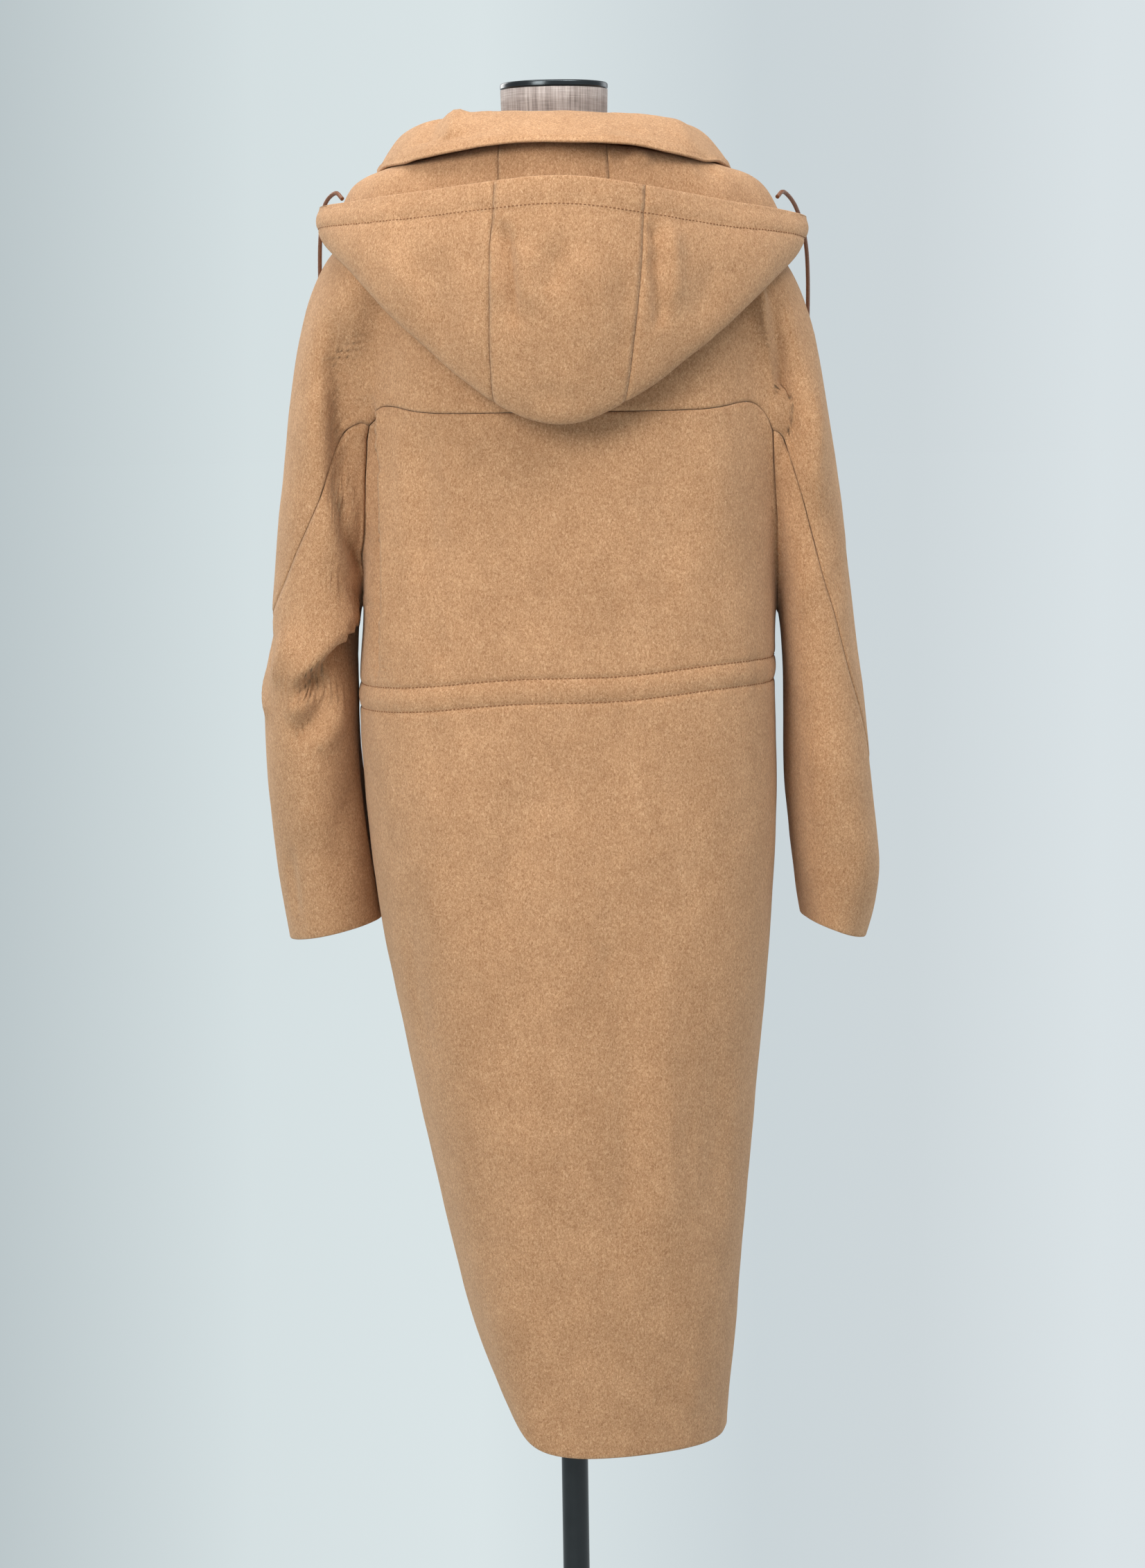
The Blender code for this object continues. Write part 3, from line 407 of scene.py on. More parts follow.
def body_cage():
    cage = Cage()
    half = BACK_COLS // 2
    rows = len(YOKE)
    lap = (half - 1, half, half + 1)
    for k, row in enumerate(YOKE):
        zb, yb, zf, yf, xl, ypb, ypf, zpb, zpf, xr, ol, zol, orr, zor, yo = row
        for i in range(BACK_COLS + 1):
            turn = math.radians(60.0 * (i - half) / half)
            w = ((1.0 - math.cos(turn)) / 0.5) ** (1.0 + 0.25 * k)
            x = (xl if i > half else xr) * math.sin(turn) / math.sin(math.radians(60.0))
            low = ((1.0 - math.cos(turn)) / 0.5) ** (1.0 + 0.7 * k)
            cage.put(("back", k, i), (x, yb + (ypb - yb) * w, zb + (zpb - zb) * low), row=k)
            w = (1.0 - math.cos(turn)) / 0.5
            cage.put(("front", k, i), (x, yf + (ypf - yf) * w, zf + (zpf - zf) * w), 1.0 if i in lap else 0.0, row=k)
        for side, xp, xo, zo in (("L", xl, ol, zol), ("R", xr, orr, zor)):
            sign = 1.0 if side == "L" else -1.0
            middle, depth = (ypb + ypf) / 2.0, (ypb - ypf) / 2.0 / math.sin(math.radians(120.0))
            for i in range(1, ARM_COLS):
                w, s = arc_weight(ARM_COLS, i)
                corner = zpb + (zpf - zpb) * i / ARM_COLS
                over = hull(3 * ARM_COLS // 2)
                spread = w**1.05 if k == len(YOKE) - 1 else w
                point = (sign * (xp + (xo - xp) * spread * over), middle + depth * s + (yo - middle) * w * w, corner + (zo - corner) * w**1.25)
                cage.put(("arm" + side, k, i), point, row=k)
    total = 2 * (BACK_COLS + SIDE_COLS)
    for k, (z, zf, lift, xl, xr, yb, yf, sqb, sqf) in enumerate(BODY):
        grow = hull(total)
        for j in range(total):
            turn = 2.0 * math.pi * j / total
            front = 0.5 - 0.5 * math.cos(turn)
            square = 2.0 / (sqb + (sqf - sqb) * front)
            cx, a = (xl - xr) / 2.0, (xl + xr) / 2.0
            cy, b = (yb + yf) / 2.0, (yb - yf) / 2.0
            x = cx * (1.0 - abs(math.cos(turn)) ** 3) * 1.0 + a * grow * signed_power(math.sin(turn), square)
            y = cy + b * grow * signed_power(math.cos(turn), square)
            lapped = abs(j - total // 2) <= 1
            rise = lift * max(0.0, math.sin(turn)) ** 1.6
            cage.put(("body", k, j), (x, y, z + (zf - z) * front + rise), 1.0 if lapped else 0.0, row=rows + k)
    (zl, zr, yc, inl, inr), last = CROTCH[0], rows - 1
    for side, zc, inward in (("L", zl, inl), ("R", zr, inr)):
        sign = 1.0 if side == "L" else -1.0
        edge = BACK_COLS if side == "L" else 0
        back, front = (np.array(cage.points[cage.index[(face, last, edge)]]) / MM for face in ("back", "front"))
        for i in range(1, SIDE_COLS):
            f = i / SIDE_COLS
            low = math.sin(math.pi * f)
            p = back + (front - back) * f
            p[2] += (zc - p[2]) * low**0.8
            p[0] += sign * inward * low
            cage.put(("crotch" + side, i), tuple(p), row=last)
    for side, table in (("L", SLEEVE_L), ("R", SLEEVE_R)):
        sign = 1.0 if side == "L" else -1.0
        around = ARM_COLS + SIDE_COLS
        grow = hull(around)
        for k, (xo, zo, xi, zi, ym, hd) in enumerate(table):
            for i in range(around):
                angle = math.radians(120.0 - 360.0 * i / around)
                w = math.cos(angle) * grow
                x, z = (xo + xi) / 2.0 + (xo - xi) / 2.0 * w, (zo + zi) / 2.0 + (zo - zi) / 2.0 * w
                cage.put(("sleeve" + side, k, i), (sign * x, ym + hd * grow * math.sin(angle), z), row=rows + k)

    for k in range(rows - 1):
        for i in range(BACK_COLS):
            cage.quad((("back", k, i), ("back", k, i + 1), ("back", k + 1, i + 1), ("back", k + 1, i)), "yoke_back")
            label = "front_right" if i < half + 1 else "front_left"
            cage.quad((("front", k, i), ("front", k + 1, i), ("front", k + 1, i + 1), ("front", k, i + 1)), label)
        for side in "LR":
            corner = BACK_COLS if side == "L" else 0

            def arm(row, i):
                if i == 0:
                    return ("back", row, corner)
                if i == ARM_COLS:
                    return ("front", row, corner)
                return ("arm" + side, row, i)

            for i in range(ARM_COLS):
                keys = [arm(k, i), arm(k, i + 1), arm(k + 1, i + 1), arm(k + 1, i)]
                label = "yoke_back" if i < ARM_COLS // 2 else "sleeve_left" if side == "L" else "sleeve_right"
                cage.quad(keys if side == "L" else keys[::-1], label)

    def body(row, j):
        j %= total
        if row >= 0:
            return ("body", row, j)
        if j <= half:
            return ("back", rows - 1, half + j)
        if j < half + SIDE_COLS:
            return ("crotchL", j - half)
        if j <= half + SIDE_COLS + BACK_COLS:
            return ("front", rows - 1, BACK_COLS - (j - half - SIDE_COLS))
        if j < half + 2 * SIDE_COLS + BACK_COLS:
            return ("crotchR", SIDE_COLS - (j - half - SIDE_COLS - BACK_COLS))
        return ("back", rows - 1, j - total + half)

    quarter = total // 4
    for k in range(-1, len(BODY) - 1):
        for j in range(total):
            if j < quarter or j >= 3 * quarter:
                label = "back_panel"
            elif j < 2 * quarter - 1:
                label = "front_left"
            else:
                label = "front_right"
            cage.quad((body(k, j), body(k, j + 1), body(k + 1, j + 1), body(k + 1, j)), label)
    around = ARM_COLS + SIDE_COLS
    for side in "LR":
        corner = BACK_COLS if side == "L" else 0

        def sleeve(row, i):
            i %= around
            if row >= 0:
                return ("sleeve" + side, row, i)
            if i == 0:
                return ("back", rows - 1, corner)
            if i < ARM_COLS:
                return ("arm" + side, rows - 1, i)
            if i == ARM_COLS:
                return ("front", rows - 1, corner)
            return ("crotch" + side, around - i)

        for k in range(-1, len(SLEEVE_L) - 1):
            for i in range(around):
                keys = [sleeve(k, i), sleeve(k, i + 1), sleeve(k + 1, i + 1), sleeve(k + 1, i)]
                cage.quad(keys if side == "L" else keys[::-1], "sleeve_left" if side == "L" else "sleeve_right")
    return cage


def hood_cage(neck):
    cage = Cage()
    for s, (ex, ey, ez, bx, by, bz, r, bulge, vx, vy, vz, hump, turn) in enumerate(HOOD):
        e, b, v = (np.array(p, float) for p in ((ex, ey, ez), (bx, by, bz), (vx, vy, vz)))
        n = neck(turn, "hood") / MM
        out = np.array((bx, max(by, 0.0) + 60.0 if by > 0 else by, 0.0))
        out /= np.linalg.norm(out)
        up = np.array((0.0, 0.0, 1.0))
        front = b + out * r + up * r
        behind = b - out * r + up * r
        points = [
            e,
            e + (front - e) * 0.42 + out * bulge,
            front + up * r * 0.6 + out * bulge * 0.4,
            b,
            behind + up * r * 0.6,
            behind + (v - behind) * 0.6,
            v,
            v + (n - v) * 0.45 + up * (hump + 0.45 * max(0.0, n[2] - v[2])),
            n,
        ]
        for row, p in enumerate(points):
            cage.put(("hood", s, row), p, 1.0 if row == 8 else 0.0, row=row, col=s)
    for s in range(len(HOOD) - 1):
        label = "hood_side_left" if s < HOOD_SEAMS[0] else "hood_side_right" if s >= HOOD_SEAMS[1] else "hood_middle"
        for row in range(8):
            cage.quad((("hood", s, row), ("hood", s, row + 1), ("hood", s + 1, row + 1), ("hood", s + 1, row)), label)
    return cage


def collar_cage(neck):
    cage = Cage()
    for s, (tx, ty, tz, ex, ey, ez, turn) in enumerate(COLLAR):
        t, e, n = np.array((tx, ty, tz), float), np.array((ex, ey, ez), float), neck(turn, "collar") / MM
        fall = e - t
        points = [e, t + fall * 0.22 + np.array((0, 0, 4.0)), t + (n - t) * 0.22 - fall * 0.16, n]
        for row, p in enumerate(points):
            cage.put(("collar", s, row), p, 1.0 if row == 3 else 0.0, row=row, col=s)
    for s in range(len(COLLAR) - 1):
        for row in range(3):
            cage.quad((("collar", s, row), ("collar", s, row + 1), ("collar", s + 1, row + 1), ("collar", s + 1, row)), "collar")
    return cage


# ---------------------------------------------------------------- fine cloth
class Cloth:
    """A fine sheet of quads with its labels and values."""

    def __init__(self, cage, name, levels):
        mesh = bpy.data.meshes.new(name)
        mesh.from_pydata(cage.points, [], cage.faces)
        self.names = sorted(set(cage.labels))
        for face, label in zip(mesh.polygons, cage.labels):
            face.material_index = self.names.index(label)
        for _ in self.names:
            mesh.materials.append(None)
        for title, values in cage.values.items():
            mesh.attributes.new(title, "FLOAT", "POINT").data.foreach_set("value", values)
        obj = link(bpy.data.objects.new(name, mesh))
        subdivision = obj.modifiers.new("smooth", "SUBSURF")
        subdivision.levels = subdivision.render_levels = levels
        subdivision.boundary_smooth = "PRESERVE_CORNERS"
        bpy.context.view_layer.update()
        out = obj.evaluated_get(bpy.context.evaluated_depsgraph_get()).to_mesh()
        count = len(out.vertices)
        self.points = np.empty(count * 3)
        out.vertices.foreach_get("co", self.points)
        self.points = self.points.reshape(-1, 3)
        self.faces = np.empty(len(out.loops), np.int32)
        out.loops.foreach_get("vertex_index", self.faces)
        self.faces = self.faces.reshape(-1, 4)
        self.label = np.empty(len(out.polygons), np.int32)
        out.polygons.foreach_get("material_index", self.label)
        self.values = {}
        for title in cage.values:
            self.values[title] = np.empty(count)
            out.attributes[title].data.foreach_get("value", self.values[title])
        bpy.data.objects.remove(obj)
        bpy.data.meshes.remove(mesh)
        self.refresh()

    def refresh(self):
        corners = self.points[self.faces]
        across = np.cross(corners[:, 2] - corners[:, 0], corners[:, 3] - corners[:, 1])
        normals = np.zeros_like(self.points)
        for i in range(4):
            for k in range(3):
                normals[:, k] += np.bincount(self.faces[:, i], across[:, k], len(self.points))
        self.normals = normals / np.maximum(np.linalg.norm(normals, axis=1), 1e-12)[:, None]

    def tree(self, keep=None):
        faces = self.faces if keep is None else self.faces[keep]
        return BVHTree.FromPolygons(self.points.tolist(), faces.tolist())

    def cut_rows(self, cuts):
        """Splits rows of quads across their length. cuts gives, for each face, how many
        new lines cross it. New points follow the curve that the two ends' normals give."""
        row = self.values["row"][self.faces]
        turn = np.where(np.abs(row[:, 0] - row[:, 1]) < 1e-4, 0, 1)
        faces = np.where(turn[:, None] == 0, self.faces, np.roll(self.faces, -1, axis=1))
        new_faces, new_label = [faces[cuts == 0]], [self.label[cuts == 0]]
        extra, extra_values, total = [], {t: [] for t in self.values}, len(self.points)
        for n in sorted(set(cuts[cuts > 0].tolist())):
            own = faces[cuts == n]
            left, right_side = own[:, (0, 3)], own[:, (1, 2)]
            both = np.sort(np.vstack([left, right_side]), axis=1)
            edges, where = np.unique(both, axis=0, return_inverse=True)
            where = where.reshape(-1)
            a, b = self.points[edges[:, 0]], self.points[edges[:, 1]]
            na, nb = self.normals[edges[:, 0]], self.normals[edges[:, 1]]
            d = b - a
            ta, tb = d - na * (d * na).sum(1)[:, None], d - nb * (d * nb).sum(1)[:, None]
            chain = []
            for i in range(1, n + 1):
                t = i / (n + 1.0)
                p = a * (2 * t**3 - 3 * t**2 + 1) + ta * (t**3 - 2 * t**2 + t) + b * (3 * t**2 - 2 * t**3) + tb * (t**3 - t**2)
                extra.append(p)
                for title, values in self.values.items():
                    extra_values[title].append(values[edges[:, 0]] * (1 - t) + values[edges[:, 1]] * t)
                chain.append(total + np.arange(len(edges)))
                total += len(edges)
            chain = np.array(chain).T
            lines = []
            for pair, at in ((left, where[: len(own)]), (right_side, where[len(own) :])):
                flipped = pair[:, 0] > pair[:, 1]
                inner = chain[at]
                inner[flipped] = inner[flipped][:, ::-1]
                lines.append(np.column_stack([pair[:, 0], inner, pair[:, 1]]))
            lo, hi = lines
            for i in range(n + 1):
                new_faces.append(np.column_stack([lo[:, i], hi[:, i], hi[:, i + 1], lo[:, i + 1]]))
                new_label.append(self.label[cuts == n])
        if extra:
            self.points = np.vstack([self.points, *extra])
            for title in self.values:
                self.values[title] = np.concatenate([self.values[title], *extra_values[title]])
        self.faces, self.label = np.vstack(new_faces), np.concatenate(new_label)
        self.refresh()

    def seams(self):
        """Edges between two pieces: their ends, and the faces on both sides."""
        quads = self.faces
        ends = np.vstack([np.column_stack([quads[:, i], quads[:, (i + 1) % 4]]) for i in range(4)])
        face = np.tile(np.arange(len(quads)), 4)
        key = np.sort(ends, axis=1)
        key = key[:, 0].astype(np.int64) * len(self.points) + key[:, 1]
        order = np.argsort(key, kind="stable")
        key, ends, face = key[order], ends[order], face[order]
        same = np.flatnonzero(key[:-1] == key[1:])
        crossing = same[self.label[face[same]] != self.label[face[same + 1]]]
        return ends[crossing], face[crossing], face[crossing + 1]

    def move(self, height):
        self.points = self.points + self.normals * height[:, None]
        self.refresh()


def far_from(points, stops):
    """Distance of each point to the nearest of some stops, up to 40 mm."""
    tree = KDTree(len(stops))
    for i, p in enumerate(stops):
        tree.insert(p, i)
    tree.balance()
    return np.array([min(tree.find(p)[2], 0.04) for p in points])


def clear_of(points, movable, tree, gap, reach=0.03, depth=0.012):
    """These points moved out to at least the gap from a surface that they lie against."""
    points = points.copy()
    for i in movable:
        for _ in range(2):
            near, normal, _, far = tree.find_nearest(Vector(points[i]), reach)
            if near is None or far < 1e-7:
                break
            height = (Vector(points[i]) - near).dot(normal)
            if height >= gap[i] or height < -depth:
                break
            points[i] += np.array(normal) * (gap[i] - height)
    return points


def azimuth(points):
    """Angle round the neck, in degrees from the centre back towards the left."""
    points = np.atleast_2d(points)
    return np.degrees(np.arctan2(points[:, 0], points[:, 1] + 0.012))


def rim_of(faces):
    """Border edges as (start, end, face), in the way round of their face."""
    ends = np.vstack([np.column_stack([faces[:, i], faces[:, (i + 1) % 4]]) for i in range(4)])
    face = np.tile(np.arange(len(faces)), 4)
    key = np.sort(ends, axis=1)
    _, index, count = np.unique(key, axis=0, return_index=True, return_counts=True)
    alone = index[count == 1]
    return ends[alone], face[alone]


def neckline(cloth):
    """The coat's neck seam, and where a piece sewn to it at an angle begins."""
    points, normals = cloth.points, cloth.normals
    ends, face = rim_of(cloth.faces)
    high = points[ends][:, :, 2].min(axis=1) > 1.40
    ends, face = ends[high], face[high]
    along = points[ends[:, 1]] - points[ends[:, 0]]
    along /= np.linalg.norm(along, axis=1)[:, None]
    away = points[ends].mean(axis=1) - points[cloth.faces[face]].mean(axis=1)
    away -= along * (away * along).sum(1)[:, None]
    away /= np.linalg.norm(away, axis=1)[:, None]
    off = np.zeros_like(points)
    for i in range(2):
        np.add.at(off, ends[:, i], away)
    ids = np.unique(ends)
    ids = ids[np.argsort(azimuth(points[ids]))]
    ids = np.concatenate([ids[-2:], ids, ids[:2]])
    at = azimuth(points[ids])
    at[:2] -= 360.0
    at[-2:] += 360.0
    edge = off[ids] / np.linalg.norm(off[ids], axis=1)[:, None]

    def neck(turn, piece):
        p, n, e = (np.array([np.interp(turn, at, rows[:, k]) for k in range(3)]) for rows in (points[ids], normals[ids], edge))
        if piece == "hood":
            lift = sum(high * MM * math.exp(-(((abs(turn) - middle) / width) ** 2)) for middle, width, high in NECK_RIDGE)
            return p + n * (CLEAR * 2.5 + lift) - e * 0.001
        flat = np.linalg.norm(e[:2])
        return p + e * (SEAM_GAP + CLOTH * flat) - n * CLOTH * (1.0 - flat)

    return neck


def sewn_on(cloth, neck, piece):
    """The piece with its edge at the neck moved exactly onto the neck seam."""
    points, under = cloth.points, cloth.values["under"]
    edge = np.flatnonzero(under > 0.99)
    edge = edge[np.argsort(azimuth(points[edge]))]
    turn = azimuth(points[edge])
    move = np.array([neck(t, piece) for t in turn]) - points[edge]
    every = azimuth(points)
    shift = np.column_stack([np.interp(every, turn, move[:, k]) for k in range(3)])
    cloth.points = points + shift * under[:, None]
    cloth.refresh()


# ---------------------------------------------------------------- creases
def crease(cloth, tree, stops, face, height, wide, steep, lean=0.0, fade=0.3, drop=0.0, edge=4.0):
    """A ridge, or a trough where height is below zero, along the stops. wide and steep
    are its widths on the left and on the right of the way it runs, and lean moves it
    towards its steep side. With a drop, the cloth folds over an edge there and sinks
    beyond it by that depth, coming back over the width steep. All in mm. face b or f:
    stops are (x, z) on the back or the front. face n: stops are points near the cloth."""
    path, ups = [], []
    for stop in stops:
        if face == "n":
            near, normal, _, _ = tree.find_nearest(Vector(stop) * MM)
        else:
            sign = 1.0 if face == "b" else -1.0
            near, normal, _, _ = tree.ray_cast(Vector((stop[0] * MM, sign, stop[1] * MM)), Vector((0.0, -sign, 0.0)))
        if near is not None:
            path.append(near[:])
            ups.append(normal[:])
    if len(path) < 2:
        return
    path, ups = np.array(path), np.array(ups)
    run = np.concatenate([[0.0], np.cumsum(np.linalg.norm(np.diff(path, axis=0), axis=1))])
    at = np.linspace(0.0, run[-1], max(6, int(run[-1] / 0.006)))
    path = np.column_stack([np.interp(at, run, path[:, k]) for k in range(3)])
    ups = np.column_stack([np.interp(at, run, ups[:, k]) for k in range(3)])
    for _ in range(3):
        path[1:-1] = (path[:-2] + 2 * path[1:-1] + path[2:]) / 4.0
        ups[1:-1] = (ups[:-2] + 2 * ups[1:-1] + ups[2:]) / 4.0
    ups /= np.linalg.norm(ups, axis=1)[:, None]
    way = np.gradient(path, axis=0)
    way /= np.linalg.norm(way, axis=1)[:, None]
    share = at / run[-1]
    swell = np.clip(np.minimum(share, 1.0 - share) / fade, 0.0, 1.0)
    swell = swell * swell * (3.0 - 2.0 * swell)
    reach = 3.0 * max(wide, steep) * MM
    lo, hi = path.min(0) - reach, path.max(0) + reach
    near = np.flatnonzero(((cloth.points > lo) & (cloth.points < hi)).all(axis=1))
    if not len(near):
        return
    own = cloth.points[near]
    gap = own[:, None, :] - path[None, :, :]
    best = (gap**2).sum(2).argmin(1)
    off = gap[np.arange(len(near)), best]
    up, along = ups[best], way[best]
    side = np.cross(along, up)
    lift = (off * up).sum(1)
    flat = off - up * lift[:, None]
    far = np.linalg.norm(flat, axis=1)
    across = (flat * side).sum(1)
    width = np.where(across < 0.0, wide, steep) * MM
    facing = np.clip((cloth.normals[near] * up).sum(1) * 1.6, 0.0, 1.0) * np.exp(-((np.abs(lift) / 0.05) ** 4))
    amount = swell[best] * facing
    if drop:
        ridge = np.exp(-((far / np.where(across < 0.0, wide * MM, edge * MM)) ** 2))
        sunk = np.where(across > 0.0, (1.0 - np.exp(-((across / (edge * MM)) ** 2))) * np.exp(-((far / (steep * MM)) ** 2)), 0.0)
        rise = height * ridge - drop * sunk
    else:
        ridge = np.exp(-((far / width) ** 2))
        rise = height * ridge
    cloth.points[near] = own + up * (amount * rise * MM)[:, None] + side * (amount * ridge * lean * MM)[:, None]


COAT_CREASES = (
    # face, stops, height, wide, steep, lean, fade
    # left sleeve: the soft trough from the hood down to the elbow
    ("b", ((208, 1400), (202, 1340), (197, 1300), (196, 1257), (202, 1216), (206, 1190)), -18, 22, 16, 0, 0.3),
    ("b", ((204, 1225), (200, 1195), (196, 1177), (186, 1148)), -9, 9, 7, 0, 0.25),
    ("b", ((183, 1360), (180, 1300), (172, 1250), (168, 1200)), 5, 14, 14, 0, 0.3),
    ("b", ((226, 1330), (222, 1260), (216, 1200), (226, 1130)), 5, 20, 16, 0, 0.3),
    # the corner of the slanting seam
    ("b", ((199, 1289), (190, 1276), (180, 1262)), -4, 7, 6, 0, 0.3),
    ("b", ((170, 1260), (164, 1250), (161, 1240)), -4, 5, 5, 0, 0.3),
    # cloth of the left sleeve hanging over the elbow, and the hollow under it
    ("b", ((258, 1034), (246, 1052), (226, 1073), (209, 1092), (194, 1113), (184, 1128)), 11, 32, 40, 4, 0.26, 15, 4),
    ("b", ((214, 1056), (222, 1046), (234, 1040), (250, 1036)), -7, 8, 12, 0, 0.3),
    ("b", ((217, 1046), (222, 1026), (236, 1008), (258, 994)), -9, 11, 9, 0, 0.3),
    ("b", ((250, 1100), (262, 1070), (270, 1040)), 5, 16, 14, 0, 0.3),
    ("b", ((228, 1052), (240, 1030), (262, 1014)), 5, 9, 9, 0, 0.3),
    ("b", ((204, 1030), (214, 1002), (240, 984)), 4, 12, 10, 0, 0.3),
    ("n", ((285, -20, 1110), (292, 8, 1080), (280, 36, 1060)), -6, 14, 10, 0, 0.3),
    ("n", ((288, -30, 1060), (292, 10, 1030), (278, 40, 1012)), 4, 12, 10, 0, 0.3),
    # left forearm
    ("b", ((226, 1000), (238, 940), (246, 880)), 3, 20, 16, 0, 0.35),
    ("b", ((200, 960), (212, 900), (214, 850)), -3, 16, 14, 0, 0.35),
    ("b", ((262, 900), (258, 850), (254, 806)), -4, 8, 10, 0, 0.4),
    # left edge of the back panel, folded over the side
    ("b", ((170, 1322), (167, 1297), (163, 1257), (162, 1214), (161, 1159), (161, 1125), (165, 1086), (171, 1045)), 6, 22, 30, 3, 0.22, 17, 3),
    # soft upright waves of the back, below the yoke
    ("b", ((124, 1300), (122, 1240), (120, 1132)), -5, 15, 17, 0, 0.3),
    ("b", ((144, 1300), (143, 1230), (141, 1150)), 2.2, 14, 12, 0, 0.3),
    ("b", ((92, 1290), (90, 1220), (96, 1120)), 2.4, 22, 20, 0, 0.35),
    ("b", ((40, 1262), (36, 1180), (44, 1080)), -1.8, 26, 22, 0, 0.4),
    ("b", ((-36, 1262), (-30, 1170), (-40, 1090)), 1.8, 24, 24, 0, 0.4),
    ("b", ((-96, 1290), (-100, 1200), (-92, 1110)), -2.4, 24, 20, 0, 0.35),
    ("b", ((-140, 1300), (-146, 1230), (-140, 1140)), 2.2, 18, 18, 0, 0.35),
    ("b", ((-118, 1190), (-112, 1120), (-120, 1076)), 1.6, 16, 14, 0, 0.35),
    ("b", ((120, 1120), (112, 1080), (118, 1056)), -1.8, 14, 12, 0, 0.4),
    # right shoulder falling in beside the back
    ("b", ((-200, 1244), (-199, 1272), (-197, 1318), (-192, 1360), (-186, 1405), (-178, 1446)), 5, 22, 30, 2, 0.26, 12, 4),
    ("b", ((-228, 1400), (-236, 1320), (-244, 1230)), 4, 20, 24, 0, 0.3),
    # right sleeve
    ("b", ((-232, 1320), (-236, 1262), (-234, 1205)), 4, 16, 16, 0, 0.3),
    ("b", ((-232, 1160), (-226, 1130), (-224, 1096)), 3, 14, 14, 0, 0.35),
    ("b", ((-242, 1220), (-250, 1160), (-262, 1110)), -3, 16, 16, 0, 0.3),
    ("n", ((-276, 20, 1180), (-284, 26, 1100), (-290, 22, 1030)), -3, 18, 14, 0, 0.3),
    ("b", ((-232, 1010), (-238, 940), (-236, 880)), 3, 18, 16, 0, 0.35),
    ("b", ((-262, 960), (-266, 900), (-262, 840)), -2.6, 16, 16, 0, 0.35),
    # skirt
    ("b", ((-34, 850), (-50, 760), (-58, 700), (-52, 560), (-50, 470)), -4.6, 20, 15, 0, 0.3),
    ("b", ((-35, 812), (-38, 790), (-41, 768)), -2.2, 5, 6, 0, 0.35),
    ("b", ((-84, 800), (-88, 660), (-90, 480)), 4.2, 18, 30, 0, 0.3),
    ("b", ((11, 1000), (30, 959), (57, 872), (70, 780)), -3.6, 18, 20, 0, 0.35),
    ("b", ((-10, 950), (-20, 880), (-24, 800)), 2.4, 20, 18, 0, 0.35),
    ("b", ((-104, 1010), (-112, 920), (-124, 820)), -2.2, 20, 20, 0, 0.35),
    ("b", ((110, 1000), (118, 880), (112, 760)), 2.6, 28, 24, 0, 0.35),
    ("b", ((48, 700), (40, 580), (42, 460)), 2.4, 28, 26, 0, 0.35),
    ("b", ((82, 640), (74, 540), (66, 460)), -2.0, 22, 20, 0, 0.4),
    ("b", ((-132, 760), (-136, 620), (-128, 480)), -2.6, 20, 18, 0, 0.35),
    ("b", ((-108, 400), (-112, 370), (-116, 345)), 2.0, 14, 14, 0, 0.4),
    ("b", ((150, 860), (140, 760), (128, 680)), -2.6, 16, 14, 0, 0.35),
    # hidden front: like folds, hanging from the shoulders and breaking at the waist
    ("f", ((120, 1350), (112, 1250), (118, 1120)), -5, 22, 18, 0, 0.3),
    ("f", ((150, 1330), (152, 1240), (148, 1140)), 5, 18, 16, 0, 0.3),
    ("f", ((70, 1300), (64, 1200), (72, 1090)), 4, 26, 22, 0, 0.3),
    ("f", ((-120, 1340), (-126, 1230), (-118, 1110)), -5, 20, 22, 0, 0.3),
    ("f", ((-154, 1320), (-158, 1230), (-152, 1130)), 5, 16, 16, 0, 0.3),
    ("f", ((-76, 1290), (-84, 1190), (-78, 1100)), 3.5, 24, 24, 0, 0.3),
    ("f", ((96, 1000), (104, 880), (98, 700)), -4, 24, 22, 0, 0.3),
    ("f", ((52, 980), (48, 820), (40, 600)), 3.5, 26, 26, 0, 0.3),
    ("f", ((-62, 990), (-70, 860), (-66, 640)), -3.5, 24, 24, 0, 0.3),
    ("f", ((-112, 1000), (-120, 840), (-110, 640)), 4, 26, 24, 0, 0.3),
    ("f", ((76, 640), (66, 540), (60, 440)), -3, 22, 22, 0, 0.35),
    ("f", ((-84, 620), (-92, 520), (-88, 430)), 3, 22, 22, 0, 0.35),
    ("f", ((212, 1330), (206, 1240), (214, 1140)), -8, 18, 16, 0, 0.3),
    ("f", ((178, 1150), (204, 1110), (238, 1076)), 8, 20, 8, 4, 0.2),
    ("f", ((190, 1116), (212, 1084), (244, 1054)), -8, 8, 14, 0, 0.25),
    ("f", ((216, 1030), (240, 1000), (262, 986)), -5, 12, 10, 0, 0.3),
    ("f", ((-214, 1320), (-212, 1230), (-224, 1130)), -7, 18, 16, 0, 0.3),
    ("f", ((-196, 1120), (-226, 1080), (-262, 1060)), 6, 16, 10, 2, 0.25),
    ("f", ((-206, 1096), (-232, 1056), (-266, 1036)), -6, 8, 14, 0, 0.25),
    ("f", ((-232, 1000), (-262, 970), (-280, 960)), 4, 14, 12, 0, 0.3),
)
